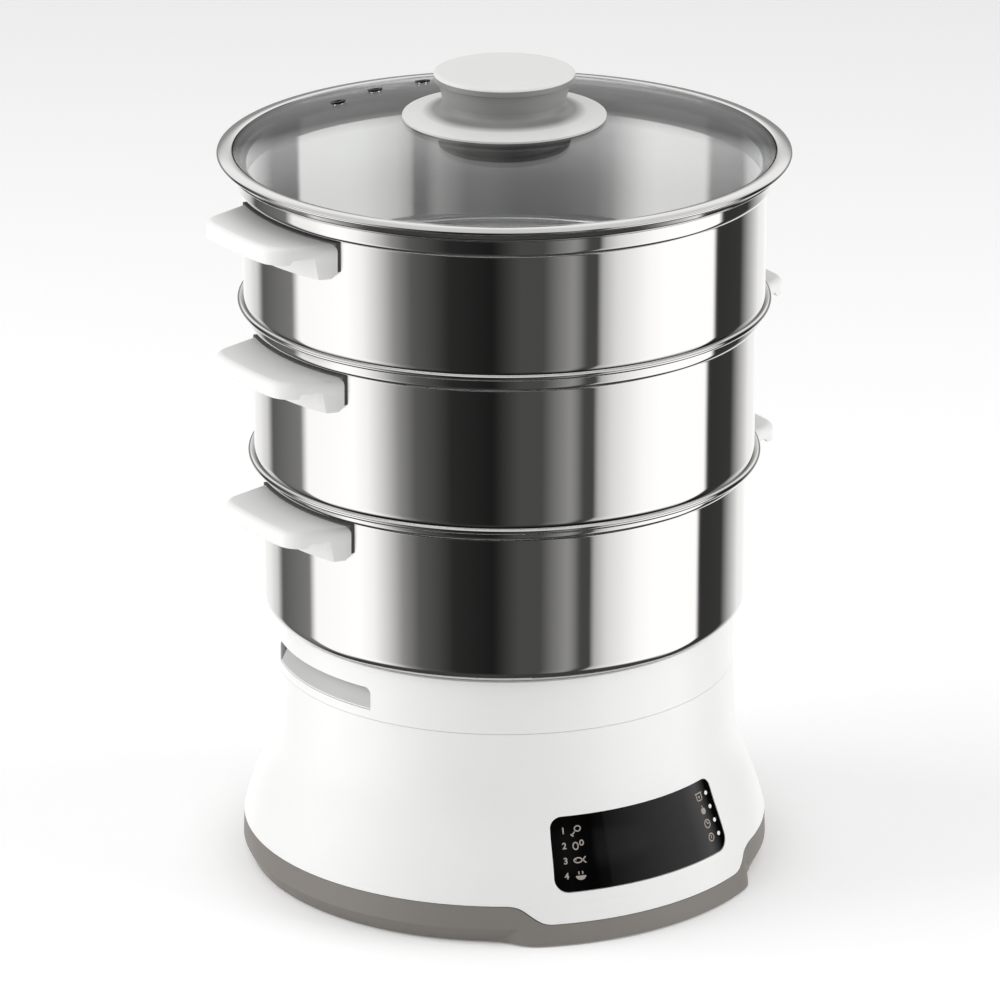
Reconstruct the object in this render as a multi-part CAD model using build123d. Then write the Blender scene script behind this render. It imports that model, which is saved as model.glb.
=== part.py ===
from build123d import *

import math
import os

os.makedirs("parts", exist_ok=True)

# Electric food steamer: three stacked steel bowls on a white base, with a domed glass lid.
# Millimetres. The origin is on the table, under the tower's axis. +Z is up, the touch panel
# faces -Y, and the bowls' handles stand out along +X and -X.

# ---- Steel bowls, from the lowest (1) to the highest (3) ----
BOWL_WALL_R = 112.0              # outer radius of the lowest bowl's wall
NEST_STEP = 4.0                  # each bowl's wall is this much larger than the one under it
BOWL_HEIGHTS = (77.05, 77.89, 68.7)       # underside to rim top
RIM_HEIGHTS = (6.5, 8.45, 9.05)          # step line to rim top
BOWL_SHEET = 0.7                 # thickness of the drawn steel
CORNER_R = 8.0                   # rounded lower corner of a bowl
FLOOR_LEDGE = 6.0                # turned-in ledge that carries the perforated floor
FLOOR_SHEET = 0.8
RIM_WIDTH = 7.7                  # rim's edge outside the wall
BEAD_R = 1.4                     # rolled edge of the rim
BAND_OUT = 0.8                   # the band under the rim stands this far proud of the wall
BAND_HEIGHT = 1.5
STEP_HALF = 0.9                  # half the height of the rounded step between wall and band
STEAM_HOLE_R = 2.3
STEAM_HOLE_PITCH = 12.5          # spacing of the rings of steam holes
STEAM_HOLE_MARGIN = 4.0          # plain border between the last holes and the ledge
SEAT_GAP = 0.25                  # play between two pieces that stand on one another

# ---- Handles ----
HANDLE_REACH = 28.0              # from the bowl's wall to the handle's outer edge
HANDLE_BULGE = 1.8               # how far the outer edge bows out
HANDLE_ROOT_ANGLE = 17.6         # half of the arc that the root covers on the wall, degrees
HANDLE_TIP_HALF = 30.0           # half width at the outer edge
HANDLE_CORNER_R = 8.0
HANDLE_SKIRT = 7.8               # height of the wing at its edge
HANDLE_NOTCH_HEIGHT = 6.6        # height left above the finger notch beside the foot
HANDLE_NOTCH = 10.6              # length of that notch
HANDLE_FOOT = 13.0               # radial depth of the foot against the wall
HANDLE_FOOT_HEIGHT = 15.5
HANDLE_WALL = 2.6
HANDLE_EDGE_R = 1.4              # rounding of the top edge
HANDLE_GAP = 0.4                 # shadow gap to the wall and to the step above
BRACKET_SHEET = 1.2
BRACKET_ANGLE = 10.0             # half of the arc that a bracket covers, degrees
BRACKET_DROP = 7.8               # tongue below the handle's top face
BRACKET_SCREW_ANGLE = 6.0
SCREW_R = 1.4                    # small self-tapping screw
SCREW_HEAD_R = 2.6
SCREW_HEAD_HEIGHT = 1.6
SCREW_PLAY = 0.1                 # radial play round a screw's shank
WELD_GAP = 0.15                  # bracket to wall, filled by the spot welds

# ---- Base housing ----
NECK_R = BOWL_WALL_R - 4.0       # outer radius where the juice collector meets the housing
NECK_Z = 97.7
WAIST_R = NECK_R + 1.0
WAIST_Z = 78.0
FLARE_R = NECK_R + 16.0          # outer radius at the shell's lower edge
FLARE_Z = 19.4
FLARE_PULL_LOW = (-6.7, 27.7)    # how the flare's curve leaves the lower edge (radius, height)
FLARE_PULL_HIGH = (-0.1, -30.0)  # and how it reaches the waist
HOUSING_WALL = 2.5
SEAM = 0.3                       # visible gap between the shell and the foot band

# ---- Bib: the shell drops over the foot band under the panel ----
BIB_Z = 10.4                     # lower edge of the shell there
BIB_HALF = 51.6                  # half width at that lower edge
BIB_RAMP = 18.3                  # width of each S-shaped end
PLINTH_R = FLARE_R + 4.0         # the foot band's radius under the bib, at the bottom
PLINTH_HALF_ANGLE = 26.0
PLINTH_BLEND_ANGLE = 12.0        # angle in which the plinth runs back into the band
PLINTH_INSET = 3.2               # how far inside the band the plinth ends

# ---- Foot band and bottom cover ----
COVER_Z = 0.8                    # underside
COVER_FLOOR = 2.5
BAND_R = FLARE_R + 0.4
CREASE_Z = 8.0                   # crease where the band turns in under the object
UNDER_R = BAND_R - 3.6           # radius at the underside
TONGUE_R = FLARE_R - 4.1         # ring that locates the cover inside the shell
TONGUE_TOP = 23.0
TONGUE_WALL = 2.2
VENT_COUNT = 6                   # cooling slots in the cover's floor
VENT_SLOT = (30.0, 3.0)
VENT_PITCH = 8.0
VENT_ROW_Y = -20.0               # middle of the row of slots

# ---- Control panel ----
PANEL_HALF_ANGLE = 23.6
PANEL_LOW_Z = 24.4
PANEL_HIGH_Z = 57.0
PANEL_CORNER_R = 5.6
PANEL_THICKNESS = 1.4
PANEL_SINK = 0.3                 # the gloss face lies this far under the shell's face
PANEL_GAP = 0.35
PANEL_LEDGE = 3.0

# ---- Juice collector ----
COLLAR_WALL = 2.5
SEAT_Z = 124.05                  # face that the lowest bowl stands on
SEAT_THICKNESS = 2.2
SEAM_GAP = 0.2                   # collector to housing
TRAY_R = NECK_R - 14.5           # inner radius of the juice tray
TRAY_WALL = 2.5
TRAY_FLOOR_Z = 106.0
TRAY_LIP_R = TRAY_R + 4.2        # lip that the tray hangs by in the collar
TRAY_LIP = 1.1                   # its thickness
TRAY_PLAY = 0.2
CHIMNEY_R = 36.0                 # steam passage
CHIMNEY_TOP = 121.0
SKIRT_DEPTH = 9.7                # locating skirt inside the reservoir
SKIRT_PLAY = 0.7
INLET_HALF = 38.2                # half width of a side filling slot
INLET_LOW_Z = 102.2
INLET_HIGH_Z = 113.0
INLET_CORNER_R = 3.0
BAFFLE_OUTER_R = NECK_R - 6.0
BAFFLE_GAP = 3.1                 # water runs in under the baffle
BAFFLE_HALF_ANGLE = 25.0
COLLAR_EDGE_R = 0.8

# ---- Water reservoir and heater ----
TANK_R = NECK_R - 5.0            # outer radius
TANK_WALL = 2.5
TANK_FLOOR_Z = 56.0              # underside
TANK_CORNER_R = 8.0
TANK_FLANGE_PLAY = 0.3           # tank's flange to the housing's wall
TANK_LEDGE_PLAY = 0.3
LEDGE_HEIGHT = 2.7
HEATER_FLANGE_R = 42.0
HEATER_DOME_R = 34.0
HEATER_SHEET = 1.5
HEATER_RISE = 7.2                # flange underside to dome top
SEAL_THICKNESS = 1.7
SEAL_PLAY = 0.5
CLAMP_R = 54.5
CLAMP_SCREW_R = 49.5             # radius of the ring of clamp screws
CLAMP_THICKNESS = 1.5
TANK_BOSS_R = 4.0
ELEMENT_RING_R = 24.5
ELEMENT_R = 3.2
ELEMENT_ARC = 310.0
ELEMENT_STUB = 6.0
BLOCK_CAP = 1.5                  # aluminium left above the element's groove
THERMOSTAT_R = 8.0
THERMOSTAT_HEIGHT = 6.0
THERMOSTAT_TAB = (3.0, 0.8)      # width and thickness of a terminal tab
FUSE_R = 2.2
FUSE_LENGTH = 12.0

# ---- Boards ----
POST_R = 3.2
POST_HEIGHT = 5.7
BOARD_THICKNESS = 1.6
POWER_BOARD_X = 50.0             # half width
POWER_BOARD_Y = (37.0, 87.0)
BOARD_HOLE_INSET = 5.0
CONTROL_BOARD_Y = 22.5 - FLARE_R         # front face
CONTROL_BOARD_HALF = 42.4
CONTROL_BOARD_Z = (20.0, 50.5)
CONTROL_POST_X = 31.0
CONTROL_POST_HALF = 4.0
CONTROL_POST_DEPTH = 4.0
CONTROL_SCREW_Z = (25.0, 47.0)
KEY_X = 36.0
KEY_Z = (31.7, 36.5, 41.3, 46.1)
KEY_R = 1.9
DISPLAY_HALF = 23.0
DISPLAY_Z = (27.0, 47.0)
DISPLAY_DEPTH = 5.0
LED_X = 41.3
LED_HALF = 0.8
LED_DEPTH = 1.4

# ---- Pieces on the power board: centres in plan, lengths along X and Y, heights above it ----
TRANSFORMER_CENTRE = (-28.0, 63.0)
TRANSFORMER_CORE = (28.0, 26.0)
TRANSFORMER_WINDING = (18.0, 34.0)
TRANSFORMER_HEIGHTS = (3.0, 17.0, 21.0)  # core's underside, winding's top, core's top
RELAY_CENTRE = (23.5, 68.0)
RELAY_SIZE = (19.0, 16.0)
RELAY_HEIGHT = 15.5
CAPACITOR_CENTRE = (40.0, 50.0)
CAPACITOR_R = 6.0
CAPACITOR_HEIGHT = 20.0
CASE_EDGE = 0.7                  # broken top edges of the relay, capacitor and display
TERMINAL_CENTRE = (-1.0, 80.0)
TERMINAL_SIZE = (18.0, 12.0)
TERMINAL_HEIGHT = 11.0
TERMINAL_WAY = 4.5               # each way's centre to the block's centre
TERMINAL_MOUTH_R = 2.2
TERMINAL_MOUTH_Z = 4.0
TERMINAL_SCREW_R = 1.9
TERMINAL_SCREW_DEPTH = 5.0
BUZZER_CENTRE = (20.0, 46.0)
BUZZER_R = 6.0
BUZZER_HEIGHT = 7.0
BUZZER_MOUTH_R = 1.2
BUZZER_MOUTH_DEPTH = 2.0
HEATER_LEAD_STARTS = ((38.0, 66.0), (0.0, 60.0))
HEATER_LEAD_DROPS = (14.6, 7.6)          # how far under the element's stubs the two leads cross
PANEL_LEAD_X = -6.0
PANEL_LEAD_RISE = 5.0            # above the control board's lower edge

# ---- Feet, screws and cord gland ----
FOOT_R = 9.0
FOOT_RING_R = UNDER_R - 18.8
FOOT_STEM_R = 3.0
FOOT_HEAD_R = 4.4
FOOT_HEAD_HEIGHT = 1.6
BOSS_RING_R = TONGUE_R - 11.9
BOSS_R = 4.5
BOSS_TOP = 52.0
COVER_SCREW_R = 1.75
COVER_SCREW_HEAD_R = 3.4
COVER_SCREW_LENGTH = 13.0
GLAND_Z = 11.2
GLAND_R = 5.6
GLAND_FLANGE_R = 8.0
GLAND_FLANGE = 2.0
GLAND_BORE_R = 3.6
GLAND_INNER_Y = BAND_R - 10.4
LEAD_R = 1.2
PANEL_LEAD_R = 1.8
LEAD_BEND_R = 6.0

# ---- Lid ----
RING_OVERHANG = 12.3             # the steel ring's edge outside the top bowl's wall
RING_BAND = 7.3                  # width of the ring round the glass
RING_ABOVE_RIM = 5.75            # ring's top above the rim of the bowl under it
RING_EDGE = 2.2                  # height of the ring's outer edge
RING_SHEET = 0.9
RING_SKIRT_PLAY = 0.5
RING_SKIRT_DEPTH = 10.5
GLASS_THICKNESS = 4.0
GLASS_RISE = 17.2                # crown of the dome above its edge
GLASS_EDGE_PLAY = 0.3
VENT_RING_R = 90.0
VENT_ANGLES = (80.8, 97.8, 114.8)        # places of the vent holes round +Z from +X, degrees
VENT_HOLE_R = 1.7
EYELET_R = 2.6
EYELET_FLANGE_R = 3.5
EYELET_FLANGE = 0.5

# ---- Lid knob ----
KNOB_FLANGE_R = 46.9
KNOB_EDGE = 0.9
KNOB_STEM_R = 28.3
KNOB_NECK_R = 30.4               # stem's radius under the cap
KNOB_CAP_R = 32.5
KNOB_HEIGHT = 21.4               # flange's lower edge to the cap's top
KNOB_CAP_HEIGHT = 4.6
KNOB_CAP_EDGE_R = 1.8
KNOB_CONE_RISE = 2.6
KNOB_FILLET = 4.6
KNOB_WALL = 2.6
KNOB_BOSS_R = 6.0
KNOB_SCREW_R = 2.0
KNOB_SCREW_HEAD_R = 4.5
KNOB_SCREW_HEAD = 2.4
KNOB_WASHER_R = 8.0
KNOB_WASHER = 1.2
KNOB_SEAL = 1.0
GLASS_HOLE_R = 4.0


# ---- Shapes that many pieces share ----
def turned(*points):
    """A solid turned about the tower's axis from a closed outline of (radius, height) points."""
    return turned_face(Polyline(*points, close=True))


def turned_face(*edges):
    """A solid turned about the tower's axis from the edges of a closed outline."""
    return revolve(Plane.XZ * make_face(Curve() + list(edges)), Axis.Z)


def ring(inner_r, outer_r, low, high):
    """A plain ring, or a disc where inner_r is 0."""
    return turned((inner_r, low), (outer_r, low), (outer_r, high), (inner_r, high))


def post(x, y, low, high, radius):
    """An upright cylinder."""
    return Pos(x, y, (low + high) / 2) * Cylinder(radius, high - low)


def block(x, y, z):
    """A box from three (low, high) pairs."""
    size = [high - low for low, high in (x, y, z)]
    middle = [(low + high) / 2 for low, high in (x, y, z)]
    return Pos(*middle) * Box(*size)


def standing(centre, size, low, high):
    """An upright box from its centre in plan and its lengths along X and Y."""
    return Pos(*centre, (low + high) / 2) * Box(*size, high - low)


def along_y(x, z, low, high, radius):
    """A cylinder that lies along Y."""
    return Pos(x, (low + high) / 2, z) * Rot(X=90) * Cylinder(radius, high - low)


def polar(radius, angle):
    """The point at a radius and an angle in degrees, as (x, y)."""
    return (radius * math.cos(math.radians(angle)), radius * math.sin(math.radians(angle)))


def sector(inner_r, outer_r, low, high, middle_angle, half_angle):
    """A piece of a ring."""
    whole = ring(inner_r, outer_r, low, high)
    reach = 2 * outer_r
    corners = [(0, 0), polar(reach, middle_angle - half_angle), polar(reach, middle_angle + half_angle)]
    return whole & Pos(0, 0, low) * extrude(make_face(Polyline(*corners, close=True)), high - low)


def group(solids):
    """Separate solids held together in one node."""
    return Part() + list(solids)


def tube(points, radius, bend):
    """A round lead along straight runs joined by arcs."""
    path = FilletPolyline(*points, radius=bend)
    start = Plane(origin=path @ 0, z_dir=path % 0)
    return sweep(start * Circle(radius), path=path)


# ---- Where the bowls stand ----
def wall_radius(index):
    """Outer radius of a bowl's wall."""
    return BOWL_WALL_R + index * NEST_STEP


RING_R = wall_radius(len(BOWL_HEIGHTS) - 1) + RING_OVERHANG


def flare_height(index, radius, rim_top):
    """Height of the inside of a bowl's rim at a radius."""
    crest_r = wall_radius(index) + RIM_WIDTH - BEAD_R
    throat_r = wall_radius(index) + BAND_OUT - BOWL_SHEET
    band_top = rim_top - RIM_HEIGHTS[index] + BAND_HEIGHT
    share = (crest_r - radius) / (crest_r - throat_r)
    return band_top + (rim_top - band_top) * math.sqrt(max(0.0, 1.0 - share ** 2))


def nested_floor(index, rim_top):
    """Underside of the bowl that stands in this bowl's rim."""
    throat_r = wall_radius(index) + BAND_OUT - BOWL_SHEET
    upper_r = wall_radius(index + 1)
    highest = rim_top - RIM_HEIGHTS[index]
    steps = 60
    for step in range(steps + 1):
        radius = throat_r + (upper_r - throat_r) * step / steps
        across = radius - (upper_r - CORNER_R)
        corner = CORNER_R - math.sqrt(max(0.0, CORNER_R ** 2 - max(0.0, across) ** 2))
        highest = max(highest, flare_height(index, radius, rim_top) - corner)
    return highest + SEAT_GAP


BOWL_COUNT = len(BOWL_HEIGHTS)
BOWL_FLOORS = [SEAT_Z + SEAT_GAP]
for number in range(1, BOWL_COUNT):
    BOWL_FLOORS.append(nested_floor(number - 1, BOWL_FLOORS[-1] + BOWL_HEIGHTS[number - 1]))
RIM_TOPS = [floor + height for floor, height in zip(BOWL_FLOORS, BOWL_HEIGHTS)]


# ---- Bowls ----
def bowl(index):
    """The drawn steel wall with its rolled rim and the turned-in ledge under its floor."""
    wall = wall_radius(index)
    low = BOWL_FLOORS[index]
    rim_top = RIM_TOPS[index]
    step_z = rim_top - RIM_HEIGHTS[index]
    band_top = step_z + BAND_HEIGHT
    band_r = wall + BAND_OUT
    crest_r = wall + RIM_WIDTH - BEAD_R
    corner_r = wall - CORNER_R
    ledge_r = corner_r - FLOOR_LEDGE
    inner = CORNER_R - BOWL_SHEET
    flare_width = crest_r - band_r
    flare_rise = rim_top - BOWL_SHEET - band_top
    diagonal = math.sqrt(0.5)
    outside = [
        Line((ledge_r, low), (corner_r, low)),
        ThreePointArc((corner_r, low),
                      (corner_r + CORNER_R * diagonal, low + CORNER_R * (1 - diagonal)),
                      (wall, low + CORNER_R)),
        Line((wall, low + CORNER_R), (wall, step_z - STEP_HALF)),
        Bezier((wall, step_z - STEP_HALF), (wall, step_z), (band_r, step_z),
               (band_r, step_z + STEP_HALF)),
        Line((band_r, step_z + STEP_HALF), (band_r, band_top)),
        EllipticalCenterArc((crest_r, band_top), flare_width, flare_rise, 90, arc_size=90),
    ]
    inside = [
        Line((crest_r, rim_top - BOWL_SHEET), (crest_r, rim_top)),
        EllipticalCenterArc((crest_r, band_top), flare_width + BOWL_SHEET,
                            flare_rise + BOWL_SHEET, 90, arc_size=90),
        Line((band_r - BOWL_SHEET, band_top), (band_r - BOWL_SHEET, step_z + STEP_HALF)),
        Bezier((band_r - BOWL_SHEET, step_z + STEP_HALF), (band_r - BOWL_SHEET, step_z),
               (wall - BOWL_SHEET, step_z), (wall - BOWL_SHEET, step_z - STEP_HALF)),
        Line((wall - BOWL_SHEET, step_z - STEP_HALF), (wall - BOWL_SHEET, low + CORNER_R)),
        ThreePointArc((wall - BOWL_SHEET, low + CORNER_R),
                      (corner_r + inner * diagonal, low + CORNER_R - inner * diagonal),
                      (corner_r, low + BOWL_SHEET)),
        Polyline((corner_r, low + BOWL_SHEET), (ledge_r, low + BOWL_SHEET), (ledge_r, low)),
    ]
    sheet = turned_face(*outside, *inside)
    bead = revolve(Plane.XZ * Pos(crest_r, rim_top - BEAD_R) * Circle(BEAD_R), Axis.Z)
    return sheet + bead


def bowl_floor(index):
    """The perforated floor plate that lies on the bowl's ledge."""
    edge_r = wall_radius(index) - CORNER_R
    last_r = edge_r - FLOOR_LEDGE - STEAM_HOLE_MARGIN
    holes = [Circle(STEAM_HOLE_R)]
    for row in range(1, int(last_r / STEAM_HOLE_PITCH) + 1):
        holes += PolarLocations(row * STEAM_HOLE_PITCH, 6 * row) * Circle(STEAM_HOLE_R)
    plate = Circle(edge_r) - holes
    return Pos(0, 0, BOWL_FLOORS[index] + BOWL_SHEET) * extrude(plate, FLOOR_SHEET)


# ---- Handles ----
def handle_top(index):
    """Height of a handle's top face, just under the step line."""
    return RIM_TOPS[index] - RIM_HEIGHTS[index] - HANDLE_GAP


def handle_outline(index, inset):
    """Plan of a handle on +X, moved in from its free edges by inset."""
    root_r = wall_radius(index) + HANDLE_GAP
    root_x, root_y = polar(root_r, HANDLE_ROOT_ANGLE)
    tip_x = wall_radius(index) + HANDLE_REACH - HANDLE_BULGE - inset
    tip_y = HANDLE_TIP_HALF - inset
    edge_y = root_y - inset
    edges = [
        Polyline((root_r - HANDLE_FOOT, -edge_y), (root_x, -edge_y), (tip_x, -tip_y)),
        ThreePointArc((tip_x, -tip_y), (tip_x + HANDLE_BULGE, 0), (tip_x, tip_y)),
        Polyline((tip_x, tip_y), (root_x, edge_y), (root_r - HANDLE_FOOT, edge_y),
                 (root_r - HANDLE_FOOT, -edge_y)),
    ]
    face = make_face(Curve() + edges)
    return fillet(face.vertices().filter_by_position(Axis.X, tip_x - 1, tip_x + 1),
                  HANDLE_CORNER_R - inset)


def handle(index):
    """A handle on +X: a hollow wing, and a foot that caps its bracket on the wall."""
    top = handle_top(index)
    root_r = wall_radius(index) + HANDLE_GAP
    foot_r = root_r + HANDLE_FOOT
    foot_low = top - HANDLE_FOOT_HEIGHT
    far_r = root_r + 2 * HANDLE_REACH
    body = Pos(0, 0, foot_low) * extrude(handle_outline(index, 0), HANDLE_FOOT_HEIGHT)
    rounded = fillet(body.faces().sort_by(Axis.Z)[-1].edges().filter_by_position(
        Axis.X, root_r, far_r), HANDLE_EDGE_R)
    rounded -= ring(foot_r, far_r, foot_low - 1, top - HANDLE_SKIRT)
    rounded -= ring(foot_r, foot_r + HANDLE_NOTCH, foot_low - 1, top - HANDLE_NOTCH_HEIGHT)
    rounded -= ring(0, root_r, foot_low - 1, top + 1)
    roof = top - HANDLE_WALL
    hollow = Pos(0, 0, foot_low - 1) * extrude(handle_outline(index, HANDLE_WALL), roof - foot_low + 1)
    rounded -= hollow - ring(0, foot_r, foot_low - 2, top)
    foot_hollow = sector(0, foot_r - HANDLE_WALL, foot_low - 1, roof, 0,
                         BRACKET_ANGLE + math.degrees(HANDLE_WALL / root_r))
    rounded -= foot_hollow
    for side in (-1, 1):
        x, y = bracket_screw_place(index, side)
        boss = post(x, y, top - BRACKET_DROP, roof, SCREW_HEAD_R)
        rounded += boss - post(x, y, top - BRACKET_DROP - 1, roof, SCREW_R + SCREW_PLAY)
    return rounded


def bracket_screw_place(index, side):
    """Centre of one of the two screws in a handle."""
    radius = wall_radius(index) + (HANDLE_FOOT - HANDLE_WALL + BRACKET_SHEET) / 2
    return polar(radius, side * BRACKET_SCREW_ANGLE)


def handle_bracket(index):
    """A bent steel bracket on the bowl's wall, for a handle on +X."""
    top = handle_top(index)
    wall = wall_radius(index)
    tongue_top = top - BRACKET_DROP
    tongue_r = wall + HANDLE_FOOT - HANDLE_WALL - BRACKET_SHEET
    plate = sector(wall + WELD_GAP, wall + WELD_GAP + BRACKET_SHEET, top - HANDLE_FOOT_HEIGHT + HANDLE_WALL,
                   top - HANDLE_WALL - HANDLE_GAP, 0, BRACKET_ANGLE)
    tongue = sector(wall + WELD_GAP, tongue_r, tongue_top - BRACKET_SHEET, tongue_top, 0, BRACKET_ANGLE)
    bracket = plate + tongue
    for side in (-1, 1):
        x, y = bracket_screw_place(index, side)
        bracket -= post(x, y, tongue_top - 3 * BRACKET_SHEET, tongue_top + 1, SCREW_R + SCREW_PLAY)
    return bracket


def screw(x, y, head_low, shank_high, shank_r, head_r, head_height):
    """A screw that points up, with its head at the bottom."""
    head = post(x, y, head_low, head_low + head_height, head_r)
    return head + post(x, y, head_low, shank_high, shank_r)


def handle_screws(index):
    """The two screws of a handle on +X."""
    head_low = handle_top(index) - BRACKET_DROP - BRACKET_SHEET - SCREW_HEAD_HEIGHT
    shank_high = handle_top(index) - HANDLE_WALL - HANDLE_GAP
    return [screw(*bracket_screw_place(index, side), head_low, shank_high,
                  SCREW_R, SCREW_HEAD_R, SCREW_HEAD_HEIGHT) for side in (-1, 1)]


# ---- Base housing, foot band and panel ----
def shell_curve(inset):
    """The housing's outline from its lower edge to its neck, moved inwards by inset."""
    low = (FLARE_R - inset, FLARE_Z)
    waist = (WAIST_R - inset, WAIST_Z)
    pull_low = (low[0] + FLARE_PULL_LOW[0], low[1] + FLARE_PULL_LOW[1])
    pull_high = (waist[0] + FLARE_PULL_HIGH[0], waist[1] + FLARE_PULL_HIGH[1])
    return [Bezier(low, pull_low, pull_high, waist), Line(waist, (NECK_R - inset, NECK_Z))]


def inside_shell(inset):
    """Everything inside the housing's outline, moved inwards by inset."""
    top = Polyline((NECK_R - inset, NECK_Z), (0, NECK_Z), (0, FLARE_Z), (FLARE_R - inset, FLARE_Z))
    return turned_face(*shell_curve(inset), top)


def plinth_plan(radius, inset):
    """Plan of the front of the foot, which swells out under the panel."""
    end_r = BAND_R - PLINTH_INSET - inset
    front_r = radius - inset
    half = PLINTH_HALF_ANGLE
    blend = PLINTH_BLEND_ANGLE
    pull = front_r * math.radians(blend) / 2
    left = polar(front_r, -90 - half)
    right = polar(front_r, -90 + half)
    ends = [polar(end_r, -90 + side * (half + blend)) for side in (-1, 1)]

    def blend_curve(start, finish, side):
        start_way = polar(pull, -90 + side * half + side * 90)
        finish_way = polar(pull, -90 + side * (half + blend) - side * 90)
        return Bezier(start, (start[0] + start_way[0], start[1] + start_way[1]),
                      (finish[0] + finish_way[0], finish[1] + finish_way[1]), finish)

    edges = [
        ThreePointArc(left, (0, -front_r), right),
        blend_curve(right, ends[1], 1),
        Line(ends[1], ends[0]),
        blend_curve(left, ends[0], -1),
    ]
    return make_face(Curve() + edges)


def plinth(inset):
    """The swollen front of the foot, from the underside up to the housing's lower edge."""
    return loft([Pos(0, 0, COVER_Z) * plinth_plan(PLINTH_R, inset),
                 Pos(0, 0, FLARE_Z) * plinth_plan(FLARE_R, inset)], ruled=True)


def foot_form(inset):
    """The whole outer form of the foot, filled: the band and the plinth, moved in by inset."""
    band = turned((0, COVER_Z), (UNDER_R - inset, COVER_Z), (BAND_R - inset, CREASE_Z),
                  (FLARE_R - inset, FLARE_Z), (0, FLARE_Z))
    return band + plinth(inset)


def foot_wall():
    """The foot's outer wall above the floor of the bottom cover."""
    above_floor = ring(0, PLINTH_R, COVER_Z + COVER_FLOOR, FLARE_Z)
    return (foot_form(0) - foot_form(HOUSING_WALL)) & above_floor


def bib_prism(grow):
    """The space of the bib seen from the front, made larger by grow."""
    low = BIB_Z - grow
    high = FLARE_Z
    near = BIB_HALF + grow
    far = near + BIB_RAMP
    pull = BIB_RAMP / 2

    def ramp(side):
        return Bezier((side * near, low), (side * (near + pull), low),
                      (side * (far - pull), high - grow), (side * far, high - grow))

    edges = [Line((-near, low), (near, low)), ramp(1), ramp(-1),
             Polyline((far, high - grow), (far, high), (-far, high), (-far, high - grow))
             if grow else Line((far, high), (-far, high))]
    return extrude(Plane.XZ * make_face(Curve() + edges), PLINTH_R + 2 * HOUSING_WALL)


def panel_prism(grow):
    """The control panel's space seen from the front, with its corners rounded."""
    low = PANEL_LOW_Z - grow
    high = PANEL_HIGH_Z + grow
    slope = math.sin(math.radians(PANEL_HALF_ANGLE))
    low_half = shell_radius(PANEL_LOW_Z) * slope + grow
    high_half = shell_radius(PANEL_HIGH_Z) * slope + grow
    outline = Polyline((-low_half, low), (low_half, low), (high_half, high), (-high_half, high), close=True)
    face = make_face(outline)
    face = fillet(face.vertices(), PANEL_CORNER_R + grow)
    return extrude(Plane.XZ * face, PLINTH_R + HOUSING_WALL)


def shell_radius(height):
    """Outer radius of the housing's flare at a height."""
    low = (FLARE_R, FLARE_Z)
    waist = (WAIST_R, WAIST_Z)
    pulls = [(low[0] + FLARE_PULL_LOW[0], low[1] + FLARE_PULL_LOW[1]),
             (waist[0] + FLARE_PULL_HIGH[0], waist[1] + FLARE_PULL_HIGH[1])]

    def on_curve(share, part):
        rest = 1 - share
        return (rest ** 3 * low[part] + 3 * rest ** 2 * share * pulls[0][part]
                + 3 * rest * share ** 2 * pulls[1][part] + share ** 3 * waist[part])

    below, above = 0.0, 1.0
    for _ in range(40):
        middle = (below + above) / 2
        if on_curve(middle, 1) < height:
            below = middle
        else:
            above = middle
    return on_curve(below, 0)


def boss_places():
    """Centres of the housing's four screw bosses."""
    return [polar(BOSS_RING_R, angle) for angle in (45, 135, 225, 315)]


def foot_places():
    """Centres of the four rubber feet."""
    return [polar(FOOT_RING_R, angle) for angle in (0, 90, 180, 270)]


def base_housing():
    """The white shell, with the bib, the panel's recess, the tank's ledge and screw bosses."""
    shell = inside_shell(0) - inside_shell(HOUSING_WALL)
    shell += (foot_wall() & bib_prism(0)) - ring(0, TONGUE_R + SEAM, 0, FLARE_Z)
    ledge_top = NECK_Z - HOUSING_WALL
    inner_r = TANK_R + TANK_LEDGE_PLAY
    shell += ring(inner_r, NECK_R - HOUSING_WALL / 2, ledge_top - LEDGE_HEIGHT, ledge_top)
    floor_top = COVER_Z + COVER_FLOOR
    core = inside_shell(HOUSING_WALL / 2) + ring(0, TONGUE_R, floor_top, FLARE_Z)
    for x, y in boss_places():
        boss = post(x, y, floor_top, BOSS_TOP, BOSS_R) & core
        shell += boss - post(x, y, 0, BOSS_TOP - HOUSING_WALL, COVER_SCREW_R + SCREW_PLAY)
    recess = panel_prism(PANEL_GAP) - inside_shell(PANEL_SINK + PANEL_THICKNESS + SCREW_PLAY)
    shell -= recess
    shell -= panel_prism(-PANEL_LEDGE) & block((-FLARE_R, FLARE_R), (-FLARE_R, -FLARE_R / 2),
                                               (FLARE_Z, WAIST_Z))
    return shell


def control_panel():
    """The curved gloss panel that lies in the housing's recess."""
    skin = inside_shell(PANEL_SINK) - inside_shell(PANEL_SINK + PANEL_THICKNESS)
    return skin & panel_prism(0)


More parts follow.
